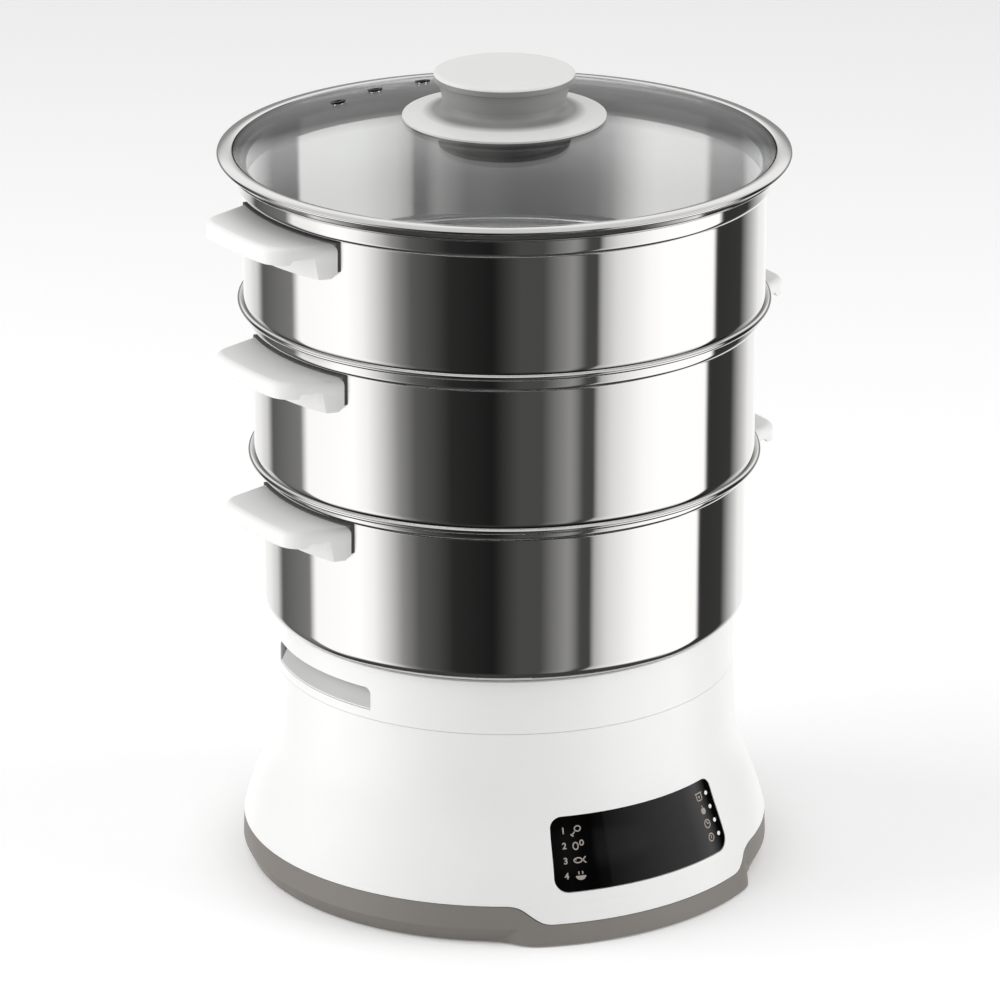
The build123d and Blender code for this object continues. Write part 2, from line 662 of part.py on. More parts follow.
def bottom_cover():
    """The grey-brown foot band with the floor of the base, in one moulding."""
    floor_top = COVER_Z + COVER_FLOOR
    below_seam = ring(0, PLINTH_R, COVER_Z, FLARE_Z - SEAM)
    cover = foot_form(0) & ring(0, PLINTH_R, COVER_Z, floor_top)
    cover += (foot_wall() & below_seam) - bib_prism(SEAM)
    cover += ring(TONGUE_R - TONGUE_WALL, TONGUE_R, COVER_Z, TONGUE_TOP)
    for x, y in boss_places():
        cover -= post(x, y, floor_top, TONGUE_TOP + 1, BOSS_R + SEAM)
        cover -= post(x, y, 0, floor_top, COVER_SCREW_R + SCREW_PLAY)
        cover -= post(x, y, 0, COVER_Z + COVER_FLOOR / 2, COVER_SCREW_HEAD_R + SCREW_PLAY)
    for x, y in foot_places():
        cover -= post(x, y, 0, floor_top, FOOT_STEM_R + SCREW_PLAY)
    for x, y in power_board_corners():
        standoff = post(x, y, COVER_Z, floor_top + POST_HEIGHT, POST_R)
        cover += standoff
        cover -= post(x, y, floor_top, floor_top + POST_HEIGHT + 1, SCREW_R + SCREW_PLAY)
    back = CONTROL_BOARD_Y + BOARD_THICKNESS
    for side in (-1, 1):
        x = side * CONTROL_POST_X
        cover += block((x - CONTROL_POST_HALF, x + CONTROL_POST_HALF), (back, back + CONTROL_POST_DEPTH),
                       (COVER_Z, CONTROL_BOARD_Z[1]))
        for z in CONTROL_SCREW_Z:
            cover -= along_y(x, z, back - 1, back + CONTROL_POST_DEPTH + 1, SCREW_R + SCREW_PLAY)
    cover -= along_y(0, GLAND_Z, GLAND_INNER_Y - 1, FLARE_R + 1, GLAND_R)
    for number in range(VENT_COUNT):
        y = VENT_ROW_Y + (number - (VENT_COUNT - 1) / 2) * VENT_PITCH
        cover -= standing((0, y), VENT_SLOT, 0, floor_top)
    return cover


def rubber_foot(x, y):
    """A push-in foot: pad, stem and button head."""
    floor_top = COVER_Z + COVER_FLOOR
    pad = post(x, y, 0, COVER_Z, FOOT_R)
    stem = post(x, y, 0, floor_top, FOOT_STEM_R)
    return pad + stem + post(x, y, floor_top, floor_top + FOOT_HEAD_HEIGHT, FOOT_HEAD_R)


def cover_screw(x, y):
    """A screw from below through the bottom cover into a boss."""
    head_high = COVER_Z + COVER_FLOOR / 2
    head_low = COVER_Z + SCREW_PLAY
    return screw(x, y, head_low, head_high + COVER_SCREW_LENGTH, COVER_SCREW_R,
                 COVER_SCREW_HEAD_R, head_high - head_low)


def cord_gland():
    """The bush in the foot band that a mains lead passes through."""
    outer_y = BAND_R
    body = along_y(0, GLAND_Z, GLAND_INNER_Y, outer_y, GLAND_R - SCREW_PLAY)
    body += along_y(0, GLAND_Z, outer_y, outer_y + GLAND_FLANGE, GLAND_FLANGE_R)
    return body - along_y(0, GLAND_Z, GLAND_INNER_Y - 1, outer_y + GLAND_FLANGE + 1, GLAND_BORE_R)


# ---- Juice collector ----
def juice_collector():
    """The white collar with the filling slots and baffles, and the skirt that locates it."""
    low = NECK_Z + SEAM_GAP
    skirt_r = TANK_R - TANK_WALL - SKIRT_PLAY
    seat_low = SEAT_Z - SEAT_THICKNESS
    collar = turned((NECK_R - COLLAR_WALL, low), (NECK_R, low), (NECK_R, SEAT_Z - COLLAR_EDGE_R),
                    (NECK_R - COLLAR_EDGE_R, SEAT_Z), (NECK_R - COLLAR_WALL, SEAT_Z))
    body = collar + ring(TRAY_R + TRAY_WALL + TRAY_PLAY, NECK_R - COLLAR_WALL, seat_low, SEAT_Z)
    body -= ring(0, TRAY_LIP_R + TRAY_PLAY, SEAT_Z - TRAY_LIP - TRAY_PLAY / 2, SEAT_Z)
    body += ring(skirt_r - COLLAR_WALL, NECK_R, low, low + COLLAR_WALL)
    body += ring(skirt_r - COLLAR_WALL, skirt_r, low - SKIRT_DEPTH, low + COLLAR_WALL)
    inlet = make_face(Polyline((-INLET_HALF, INLET_LOW_Z), (INLET_HALF, INLET_LOW_Z),
                               (INLET_HALF, INLET_HIGH_Z), (-INLET_HALF, INLET_HIGH_Z), close=True))
    inlet = fillet(inlet.vertices().filter_by_position(Axis.Y, INLET_HIGH_Z - 1, INLET_HIGH_Z + 1),
                   INLET_CORNER_R)
    slot = extrude(Plane.YZ * inlet, NECK_R + 1) - ring(0, BAFFLE_OUTER_R, 0, SEAT_Z)
    baffle_low = low + COLLAR_WALL + BAFFLE_GAP
    for turn in (0, 180):
        body -= Rot(Z=turn) * slot
        body += sector(BAFFLE_OUTER_R - TRAY_WALL, BAFFLE_OUTER_R, baffle_low, SEAT_Z,
                       turn, BAFFLE_HALF_ANGLE)
    return body


def juice_tray():
    """The ring-shaped tray that catches juice, hung by its lip in the collar."""
    outer_r = TRAY_R + TRAY_WALL
    return (ring(TRAY_R, outer_r, TRAY_FLOOR_Z, SEAT_Z)
            + ring(TRAY_R, TRAY_LIP_R, SEAT_Z - TRAY_LIP, SEAT_Z)
            + ring(CHIMNEY_R + TRAY_WALL + TRAY_PLAY / 2, outer_r,
                   TRAY_FLOOR_Z, TRAY_FLOOR_Z + TRAY_WALL))


def chimney_tube():
    """The steam passage, pressed into the tray's floor."""
    return ring(CHIMNEY_R, CHIMNEY_R + TRAY_WALL, TRAY_FLOOR_Z, CHIMNEY_TOP)


# ---- Water reservoir and heater ----
def tank_boss_places():
    """Centres of the bosses under the tank that the heater's clamp ring is screwed to."""
    return [polar(CLAMP_SCREW_R, angle) for angle in (0, 90, 180, 270)]


def heater_flange_low():
    """Underside of the heater plate's flange, which the seal holds off the tank's floor."""
    return TANK_FLOOR_Z - SEAL_THICKNESS - HEATER_SHEET


def water_reservoir():
    """The tank that hangs from the housing's ledge, with the heater's hole in its floor."""
    hole_r = HEATER_DOME_R + SEAL_PLAY + HEATER_SHEET
    flange_r = NECK_R - HOUSING_WALL - TANK_FLANGE_PLAY
    flange_low = NECK_Z - HOUSING_WALL
    corner = TANK_R - TANK_CORNER_R
    inner = TANK_CORNER_R - TANK_WALL
    diagonal = math.sqrt(0.5)
    corner_z = TANK_FLOOR_Z + TANK_CORNER_R
    tank = turned_face(
        Line((hole_r, TANK_FLOOR_Z), (corner, TANK_FLOOR_Z)),
        ThreePointArc((corner, TANK_FLOOR_Z),
                      (corner + TANK_CORNER_R * diagonal, corner_z - TANK_CORNER_R * diagonal),
                      (TANK_R, corner_z)),
        Polyline((TANK_R, corner_z), (TANK_R, flange_low), (flange_r, flange_low), (flange_r, NECK_Z),
                 (TANK_R - TANK_WALL, NECK_Z), (TANK_R - TANK_WALL, corner_z)),
        ThreePointArc((TANK_R - TANK_WALL, corner_z),
                      (corner + inner * diagonal, corner_z - inner * diagonal),
                      (corner, TANK_FLOOR_Z + TANK_WALL)),
        Polyline((corner, TANK_FLOOR_Z + TANK_WALL), (hole_r, TANK_FLOOR_Z + TANK_WALL),
                 (hole_r, TANK_FLOOR_Z)))
    boss_low = heater_flange_low()
    for x, y in tank_boss_places():
        tank += post(x, y, boss_low, TANK_FLOOR_Z + TANK_WALL / 2, TANK_BOSS_R)
        tank -= post(x, y, boss_low - 1, TANK_FLOOR_Z + TANK_WALL / 2, SCREW_R + SCREW_PLAY)
    return tank


def heater_plate():
    """The steel plate in the tank's floor that the water boils on."""
    low = heater_flange_low()
    high = low + HEATER_RISE
    inner_r = HEATER_DOME_R - HEATER_SHEET
    return turned((inner_r, low), (HEATER_FLANGE_R, low), (HEATER_FLANGE_R, low + HEATER_SHEET),
                  (HEATER_DOME_R, low + HEATER_SHEET), (HEATER_DOME_R, high), (0, high),
                  (0, high - HEATER_SHEET), (inner_r, high - HEATER_SHEET))


def heater_seal():
    """The silicone ring between the heater plate's flange and the tank's floor."""
    low = heater_flange_low() + HEATER_SHEET
    return ring(HEATER_DOME_R + SEAL_PLAY, HEATER_FLANGE_R, low, TANK_FLOOR_Z)


def heater_clamp_ring():
    """The steel ring that presses the heater plate against its seal."""
    high = heater_flange_low()
    clamp = ring(HEATER_DOME_R, CLAMP_R, high - CLAMP_THICKNESS, high)
    for x, y in tank_boss_places():
        clamp -= post(x, y, high - 2 * CLAMP_THICKNESS, high + 1, SCREW_R + SCREW_PLAY)
    return clamp


def heater_screws():
    """Four screws through the clamp ring into the tank's bosses."""
    head_low = heater_flange_low() - CLAMP_THICKNESS - SCREW_HEAD_HEIGHT
    shank_high = TANK_FLOOR_Z + TANK_WALL / 4
    return [screw(x, y, head_low, shank_high, SCREW_R, SCREW_HEAD_R, SCREW_HEAD_HEIGHT)
            for x, y in tank_boss_places()]


def element_centre_z():
    """Height of the heating element's ring, half sunk in the heater block."""
    return heater_flange_low() + HEATER_RISE - HEATER_SHEET - BLOCK_CAP - ELEMENT_R - SCREW_PLAY


def heating_element():
    """The tubular element: an open ring with two terminal stubs that point down."""
    z = element_centre_z()
    start = 90 + (360 - ELEMENT_ARC) / 2
    section = Plane.XZ * Pos(ELEMENT_RING_R, z) * Circle(ELEMENT_R)
    element = Rot(Z=start) * revolve(section, Axis.Z, revolution_arc=ELEMENT_ARC)
    for x, y in element_terminals():
        element += post(x, y, z - ELEMENT_R - ELEMENT_STUB, z, ELEMENT_R / 2)
    return element


def element_terminals():
    """Centres of the element's two terminal stubs, just inside its ends."""
    half_gap = (360 - ELEMENT_ARC) / 2 + 5
    return [polar(ELEMENT_RING_R, 90 + side * half_gap) for side in (-1, 1)]


def heater_block():
    """The aluminium block under the heater plate that the element lies in."""
    low = element_centre_z()
    high = heater_flange_low() + HEATER_RISE - HEATER_SHEET
    block_r = HEATER_DOME_R - HEATER_SHEET - SCREW_PLAY
    groove = revolve(Plane.XZ * Pos(ELEMENT_RING_R, low) * Circle(ELEMENT_R + SCREW_PLAY), Axis.Z)
    return ring(0, block_r, low, high) - groove


def thermostat():
    """The disc thermostat under the heater block."""
    high = element_centre_z()
    disc = post(0, 0, high - THERMOSTAT_HEIGHT, high, THERMOSTAT_R)
    for side in (-1, 1):
        tab_place = (side * THERMOSTAT_R / 2, 0)
        disc += standing(tab_place, THERMOSTAT_TAB, high - 2 * THERMOSTAT_HEIGHT,
                         high - THERMOSTAT_HEIGHT / 2)
    return disc


def thermal_fuse():
    """The thermal fuse, held under the heater block beside the thermostat."""
    z = element_centre_z() - FUSE_R
    y = THERMOSTAT_R + 2 * FUSE_R
    barrel = Pos(0, -y, z) * Rot(Y=90) * Cylinder(FUSE_R, FUSE_LENGTH)
    wire = Pos(0, -y, z) * Rot(Y=90) * Cylinder(FUSE_R / 4, 2 * FUSE_LENGTH)
    return barrel + wire


# ---- Boards ----
def power_board_top():
    """Top face of the power board."""
    return COVER_Z + COVER_FLOOR + POST_HEIGHT + BOARD_THICKNESS


def power_board_corners():
    """Centres of the power board's four screws."""
    x = POWER_BOARD_X - BOARD_HOLE_INSET
    rows = (POWER_BOARD_Y[0] + BOARD_HOLE_INSET, POWER_BOARD_Y[1] - BOARD_HOLE_INSET)
    return [(side * x, y) for side in (-1, 1) for y in rows]


def power_board():
    """The power board on its four posts."""
    top = power_board_top()
    board = block((-POWER_BOARD_X, POWER_BOARD_X), POWER_BOARD_Y, (top - BOARD_THICKNESS, top))
    for x, y in power_board_corners():
        board -= post(x, y, top - 2 * BOARD_THICKNESS, top + 1, SCREW_R + SCREW_PLAY)
    return board


def board_screws():
    """Four screws that point down into the posts."""
    top = power_board_top()
    low = COVER_Z + COVER_FLOOR + SCREW_PLAY
    return [post(x, y, top, top + SCREW_HEAD_HEIGHT, SCREW_HEAD_R) + post(x, y, low, top, SCREW_R)
            for x, y in power_board_corners()]


def transformer():
    """The small mains transformer: core and winding block."""
    top = power_board_top()
    core_low, winding_high, core_high = TRANSFORMER_HEIGHTS
    core = standing(TRANSFORMER_CENTRE, TRANSFORMER_CORE, top + core_low, top + core_high)
    return core + standing(TRANSFORMER_CENTRE, TRANSFORMER_WINDING, top, top + winding_high)


def relay():
    """The relay that switches the heater."""
    top = power_board_top()
    case = standing(RELAY_CENTRE, RELAY_SIZE, top, top + RELAY_HEIGHT)
    return chamfer(case.faces().sort_by(Axis.Z)[-1].edges(), CASE_EDGE)


def capacitor():
    """An upright electrolytic capacitor."""
    top = power_board_top()
    can = post(*CAPACITOR_CENTRE, top, top + CAPACITOR_HEIGHT, CAPACITOR_R)
    return fillet(can.faces().sort_by(Axis.Z)[-1].edges(), CASE_EDGE)


def terminal_block():
    """The two-way block that the mains lead would be screwed into."""
    low = power_board_top()
    high = low + TERMINAL_HEIGHT
    x, y = TERMINAL_CENTRE
    outer_y = y + TERMINAL_SIZE[1] / 2
    body = standing(TERMINAL_CENTRE, TERMINAL_SIZE, low, high)
    for side in (-1, 1):
        way_x = x + side * TERMINAL_WAY
        body -= along_y(way_x, low + TERMINAL_MOUTH_Z, y, outer_y + 1, TERMINAL_MOUTH_R)
        body -= post(way_x, y, high - TERMINAL_SCREW_DEPTH, high + 1, TERMINAL_SCREW_R)
    return body


def buzzer():
    """The round buzzer."""
    low = power_board_top()
    high = low + BUZZER_HEIGHT
    can = post(*BUZZER_CENTRE, low, high, BUZZER_R)
    return can - post(*BUZZER_CENTRE, high - BUZZER_MOUTH_DEPTH, high + 1, BUZZER_MOUTH_R)


def control_board():
    """The board behind the panel, screwed to two uprights of the bottom cover."""
    board = block((-CONTROL_BOARD_HALF, CONTROL_BOARD_HALF),
                  (CONTROL_BOARD_Y, CONTROL_BOARD_Y + BOARD_THICKNESS), CONTROL_BOARD_Z)
    for side in (-1, 1):
        for z in CONTROL_SCREW_Z:
            board -= along_y(side * CONTROL_POST_X, z, CONTROL_BOARD_Y - 1,
                             CONTROL_BOARD_Y + 2 * BOARD_THICKNESS, SCREW_R + SCREW_PLAY)
    return board


def control_board_screws():
    """Four screws from the front into the uprights."""
    back = CONTROL_BOARD_Y + BOARD_THICKNESS + CONTROL_POST_DEPTH
    return [along_y(side * CONTROL_POST_X, z, CONTROL_BOARD_Y - SCREW_HEAD_HEIGHT, CONTROL_BOARD_Y,
                    SCREW_HEAD_R)
            + along_y(side * CONTROL_POST_X, z, CONTROL_BOARD_Y, back, SCREW_R)
            for side in (-1, 1) for z in CONTROL_SCREW_Z]


def display_module():
    """The display that shines through the panel's middle."""
    case = block((-DISPLAY_HALF, DISPLAY_HALF),
                 (CONTROL_BOARD_Y - DISPLAY_DEPTH, CONTROL_BOARD_Y), DISPLAY_Z)
    return chamfer(case.faces().sort_by(Axis.Y)[0].edges(), CASE_EDGE)


def touch_springs():
    """Sprung pads that carry each touch key from the board to the back of the panel."""
    back = inside_shell(PANEL_SINK + PANEL_THICKNESS + 2 * SCREW_PLAY)
    return [along_y(side * KEY_X, z, -FLARE_R, CONTROL_BOARD_Y, KEY_R) & back
            for side in (-1, 1) for z in KEY_Z]


def indicator_leds():
    """Four small LEDs beside the right-hand keys."""
    return [block((LED_X - LED_HALF, LED_X + LED_HALF), (CONTROL_BOARD_Y - LED_DEPTH, CONTROL_BOARD_Y),
                  (z - LED_HALF, z + LED_HALF)) for z in KEY_Z]


def heater_leads():
    """Two leads from the power board to the element's terminals."""
    top = power_board_top()
    stub_low = element_centre_z() - ELEMENT_R - ELEMENT_STUB
    leads = []
    for start, end, drop in zip(HEATER_LEAD_STARTS, element_terminals(), HEATER_LEAD_DROPS):
        level = stub_low - drop
        points = [(*start, top), (*start, level), (*end, level), (*end, stub_low)]
        leads.append(tube(points, LEAD_R, LEAD_BEND_R))
    return leads


def panel_lead():
    """The bundled lead from the power board to the control board."""
    top = power_board_top()
    y = POWER_BOARD_Y[0] + BOARD_HOLE_INSET
    level = CONTROL_BOARD_Z[0] + PANEL_LEAD_RISE
    back = CONTROL_BOARD_Y + BOARD_THICKNESS
    return tube([(PANEL_LEAD_X, y, top), (PANEL_LEAD_X, y, level), (PANEL_LEAD_X, back, level)],
                PANEL_LEAD_R, LEAD_BEND_R)


# ---- Lid ----
RING_TOP = RIM_TOPS[-1] + RING_ABOVE_RIM
GLASS_EDGE_R = RING_R - RING_BAND - GLASS_EDGE_PLAY
GLASS_EDGE_Z = RING_TOP - GLASS_EDGE_PLAY
DOME_R = (GLASS_EDGE_R ** 2 + GLASS_RISE ** 2) / (2 * GLASS_RISE)
DOME_CENTRE_Z = GLASS_EDGE_Z + GLASS_RISE - DOME_R
CROWN_Z = DOME_CENTRE_Z + DOME_R


def dome_height(radius, depth):
    """Height of the glass at a radius, at a depth under its outer face."""
    return DOME_CENTRE_Z + math.sqrt((DOME_R - depth) ** 2 - radius ** 2)


def lid_glass():
    """The domed glass, with the knob's hole and three vent holes."""
    middle = GLASS_EDGE_R / 2
    low_edge = dome_height(GLASS_EDGE_R, GLASS_THICKNESS)
    glass = turned_face(
        ThreePointArc((GLASS_HOLE_R, dome_height(GLASS_HOLE_R, 0)), (middle, dome_height(middle, 0)),
                      (GLASS_EDGE_R, GLASS_EDGE_Z)),
        Line((GLASS_EDGE_R, GLASS_EDGE_Z), (GLASS_EDGE_R, low_edge)),
        ThreePointArc((GLASS_EDGE_R, low_edge), (middle, dome_height(middle, GLASS_THICKNESS)),
                      (GLASS_HOLE_R, dome_height(GLASS_HOLE_R, GLASS_THICKNESS))),
        Line((GLASS_HOLE_R, dome_height(GLASS_HOLE_R, GLASS_THICKNESS)),
             (GLASS_HOLE_R, dome_height(GLASS_HOLE_R, 0))))
    drill = Cylinder(EYELET_R + SCREW_PLAY, 4 * GLASS_THICKNESS)
    for angle in VENT_ANGLES:
        glass -= on_dome(drill, angle)
    return glass


def on_dome(piece, angle):
    """A piece modelled at the dome's crown, moved to a vent's place and tilted to the glass."""
    tilt = math.degrees(math.asin(VENT_RING_R / DOME_R))
    at_crown = Pos(0, 0, DOME_R) * piece
    return Pos(0, 0, DOME_CENTRE_Z) * Rot(Z=angle) * Rot(Y=tilt) * at_crown


def vent_eyelet(angle):
    """A steel eyelet that lines one vent hole."""
    depth = GLASS_THICKNESS + EYELET_FLANGE
    barrel = Pos(0, 0, -depth / 2) * Cylinder(EYELET_R, depth)
    barrel += Pos(0, 0, EYELET_FLANGE / 2) * Cylinder(EYELET_FLANGE_R, EYELET_FLANGE)
    return on_dome(barrel - Cylinder(VENT_HOLE_R, 4 * GLASS_THICKNESS), angle)


def lid_ring():
    """The steel ring crimped round the glass, with the skirt that locates in the top bowl."""
    top_index = BOWL_COUNT - 1
    seat = RIM_TOPS[-1] + SEAT_GAP / 2
    inner_r = RING_R - RING_BAND
    crest_r = wall_radius(top_index) + RIM_WIDTH - BEAD_R
    skirt_r = wall_radius(top_index) - BOWL_SHEET - RING_SKIRT_PLAY
    glass_low = dome_height(GLASS_EDGE_R, GLASS_THICKNESS) - SCREW_PLAY
    edge_low = RING_TOP - RING_EDGE
    round_r = RING_EDGE / 2
    return turned_face(
        Polyline((skirt_r, glass_low - RING_SHEET), (skirt_r, seat - RING_SKIRT_DEPTH),
                 (skirt_r - RING_SHEET, seat - RING_SKIRT_DEPTH), (skirt_r - RING_SHEET, glass_low),
                 (inner_r, glass_low), (inner_r, RING_TOP), (RING_R - round_r, RING_TOP)),
        ThreePointArc((RING_R - round_r, RING_TOP), (RING_R, RING_TOP - round_r),
                      (RING_R - round_r, edge_low)),
        Polyline((RING_R - round_r, edge_low), (crest_r + 2 * BEAD_R, edge_low - RING_SHEET),
                 (crest_r + BEAD_R, seat), (crest_r - 2 * BEAD_R, seat),
                 (skirt_r, glass_low - RING_SHEET)))


# ---- Lid knob ----
KNOB_LOW = dome_height(KNOB_FLANGE_R, 0) + SCREW_PLAY
KNOB_TOP = KNOB_LOW + KNOB_HEIGHT
CAP_LOW = KNOB_TOP - KNOB_CAP_HEIGHT
KNOB_WEB_Z = KNOB_LOW + KNOB_HEIGHT / 2


def knob_body():
    """The knob's flange and hollow stem, with the boss for its screw."""
    edge_z = KNOB_LOW + KNOB_EDGE
    cone_r = KNOB_STEM_R + KNOB_FILLET
    cone_z = edge_z + KNOB_CONE_RISE
    stem_z = cone_z + KNOB_FILLET
    outside = turned_face(
        Polyline((0, KNOB_LOW), (KNOB_FLANGE_R, KNOB_LOW), (KNOB_FLANGE_R, edge_z), (cone_r, cone_z)),
        Bezier((cone_r, cone_z), (KNOB_STEM_R + KNOB_FILLET / 4, cone_z + KNOB_FILLET / 8),
               (KNOB_STEM_R, cone_z + KNOB_FILLET / 3), (KNOB_STEM_R, stem_z)),
        Polyline((KNOB_STEM_R, stem_z), (KNOB_NECK_R, CAP_LOW), (0, CAP_LOW), (0, KNOB_LOW)))
    inner_r = KNOB_STEM_R - KNOB_WALL
    flange_inner_r = KNOB_FLANGE_R - KNOB_WALL
    hollow = turned((0, KNOB_LOW - 1), (flange_inner_r, KNOB_LOW - 1), (flange_inner_r, KNOB_LOW),
                    (inner_r, cone_z - KNOB_EDGE), (inner_r, KNOB_WEB_Z), (0, KNOB_WEB_Z))
    cup = ring(0, inner_r, KNOB_WEB_Z + KNOB_WALL, CAP_LOW + 1)
    glass_space = Pos(0, 0, DOME_CENTRE_Z) * Sphere(DOME_R + SCREW_PLAY)
    body = outside - hollow - cup - glass_space
    boss_low = CROWN_Z + KNOB_SEAL
    body += ring(0, KNOB_BOSS_R, boss_low, KNOB_WEB_Z + KNOB_WALL)
    return body - ring(0, KNOB_SCREW_R + SCREW_PLAY, boss_low - 1, KNOB_WEB_Z + KNOB_WALL / 2)


def knob_cap():
    """The smooth cap on the knob, with the ring that snaps into the stem."""
    inner_r = KNOB_STEM_R - KNOB_WALL
    disc = turned_face(
        Polyline((0, CAP_LOW), (KNOB_NECK_R, CAP_LOW), (KNOB_CAP_R, CAP_LOW + KNOB_CAP_EDGE_R / 2),
                 (KNOB_CAP_R, KNOB_TOP - KNOB_CAP_EDGE_R)),
        ThreePointArc((KNOB_CAP_R, KNOB_TOP - KNOB_CAP_EDGE_R),
                      (KNOB_CAP_R - KNOB_CAP_EDGE_R * (1 - math.sqrt(0.5)),
                       KNOB_TOP - KNOB_CAP_EDGE_R * (1 - math.sqrt(0.5))),
                      (KNOB_CAP_R - KNOB_CAP_EDGE_R, KNOB_TOP)),
        Polyline((KNOB_CAP_R - KNOB_CAP_EDGE_R, KNOB_TOP), (0, KNOB_TOP), (0, CAP_LOW)))
    return disc + ring(inner_r - KNOB_WALL, inner_r - SCREW_PLAY, CAP_LOW - KNOB_WALL, CAP_LOW + 1)


def knob_screw():
    """The screw from under the glass into the knob's boss."""
    washer_low = CROWN_Z - GLASS_THICKNESS - KNOB_WASHER
    head_low = washer_low - KNOB_SCREW_HEAD
    return screw(0, 0, head_low, KNOB_WEB_Z + KNOB_WALL / 4, KNOB_SCREW_R, KNOB_SCREW_HEAD_R,
                 KNOB_SCREW_HEAD)


def knob_washer():
    """The steel washer between the screw's head and the glass."""
    high = dome_height(KNOB_WASHER_R, GLASS_THICKNESS) - 2 * SCREW_PLAY
    low = CROWN_Z - GLASS_THICKNESS - KNOB_WASHER
    return ring(KNOB_SCREW_R + SCREW_PLAY, KNOB_WASHER_R, low, high)


def knob_seal():
    """The silicone ring between the glass and the knob's boss."""
    inner_r = KNOB_SCREW_R + SCREW_PLAY
    return ring(inner_r, KNOB_BOSS_R, CROWN_Z, CROWN_Z + KNOB_SEAL)


# ---- The object ----
NODES = {
    "base_housing": base_housing(),
    "bottom_cover": bottom_cover(),
    "control_panel": control_panel(),
    "rubber_feet": group(rubber_foot(x, y) for x, y in foot_places()),
    "cover_screws": group(cover_screw(x, y) for x, y in boss_places()),
    "cord_gland": cord_gland(),
    "water_reservoir": water_reservoir(),
    "heater_plate": heater_plate(),
    "heater_seal": heater_seal(),
    "heater_clamp_ring": heater_clamp_ring(),
    "heater_screws": group(heater_screws()),
    "heater_block": heater_block(),
    "heating_element": heating_element(),
    "thermostat": thermostat(),
    "thermal_fuse": thermal_fuse(),
    "power_board": power_board(),
    "board_screws": group(board_screws()),
    "transformer": transformer(),
    "relay": relay(),
    "capacitor": capacitor(),
    "terminal_block": terminal_block(),
    "buzzer": buzzer(),
    "control_board": control_board(),
    "control_board_screws": group(control_board_screws()),
    "display_module": display_module(),
    "touch_springs": group(touch_springs()),
    "indicator_leds": group(indicator_leds()),
    "heater_leads": group(heater_leads()),
    "panel_lead": panel_lead(),
    "juice_collector": juice_collector(),
    "juice_tray": juice_tray(),
    "chimney_tube": chimney_tube(),
    "lid_ring": lid_ring(),
    "lid_glass": lid_glass(),
    "vent_eyelets": group(vent_eyelet(angle) for angle in VENT_ANGLES),
    "knob_body": knob_body(),
    "knob_cap": knob_cap(),
    "knob_screw": knob_screw(),
    "knob_washer": knob_washer(),
    "knob_seal": knob_seal(),
}

for number in range(BOWL_COUNT):
    label = number + 1
    half_turn = Rot(Z=180)
    right_handle = handle(number)
    bracket = handle_bracket(number)
    screws = handle_screws(number)
    NODES[f"bowl_{label}"] = bowl(number)
    NODES[f"bowl_floor_{label}"] = bowl_floor(number)
    NODES[f"handle_right_{label}"] = right_handle
    NODES[f"handle_left_{label}"] = half_turn * right_handle
    NODES[f"handle_brackets_{label}"] = group([bracket, half_turn * bracket])
    NODES[f"handle_screws_{label}"] = group(screws + [half_turn * piece for piece in screws])

for name, piece in NODES.items():
    export_step(piece, f"parts/{name}.step")

print("bowl floors", [round(value, 2) for value in BOWL_FLOORS])
print("rim tops", [round(value, 2) for value in RIM_TOPS])
print("top of knob", round(KNOB_TOP, 2))
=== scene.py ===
"""Electric food steamer: looks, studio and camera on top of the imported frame.

Metres and degrees. +Z is up, the touch panel faces -Y, the handles stand out along +X and -X.
"""

import logging
import math
from contextlib import contextmanager
from dataclasses import dataclass
from enum import Enum
from typing import Any, Callable, Iterator, Sequence

import bmesh
import bpy
from mathutils import Matrix, Vector

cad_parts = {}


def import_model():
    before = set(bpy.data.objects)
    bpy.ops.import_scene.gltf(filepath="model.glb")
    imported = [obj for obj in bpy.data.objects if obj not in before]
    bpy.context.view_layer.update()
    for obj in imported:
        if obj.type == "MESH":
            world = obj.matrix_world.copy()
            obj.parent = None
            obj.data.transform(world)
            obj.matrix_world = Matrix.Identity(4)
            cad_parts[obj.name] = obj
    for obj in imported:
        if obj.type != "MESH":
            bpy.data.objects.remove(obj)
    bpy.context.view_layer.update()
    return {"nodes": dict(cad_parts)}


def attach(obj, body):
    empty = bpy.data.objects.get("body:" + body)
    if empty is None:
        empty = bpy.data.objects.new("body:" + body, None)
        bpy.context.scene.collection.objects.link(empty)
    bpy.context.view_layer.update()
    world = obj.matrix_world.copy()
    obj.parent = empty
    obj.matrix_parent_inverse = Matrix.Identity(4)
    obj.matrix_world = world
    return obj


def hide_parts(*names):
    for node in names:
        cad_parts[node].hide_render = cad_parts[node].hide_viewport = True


LOG = logging.getLogger("steamer")
MM = 0.001
BRIGHTEST = 1.5                  # the brightest that a surrounding card can be
NOISE_SPAN = (0.3, 0.7)          # the values that a noise pattern mostly keeps to
ORIGIN = (0, 0, 0)

Point2 = tuple[float, float]
Point3 = tuple[float, float, float]
Colour = tuple[float, float, float, float]
Tree = bpy.types.NodeTree
Node = bpy.types.Node
Socket = bpy.types.NodeSocket


class Side(Enum):
    """The two sides that carry handles, as the sign of X."""

    RIGHT = 1
    LEFT = -1

    @property
    def word(self) -> str:
        """The side's name as it stands in the node names."""
        return self.name.lower()


class Relief(Enum):
    """How a surface was made, as the finer layers that its relief has."""

    MOULDED = 2.0
    GRAINED = 6.0


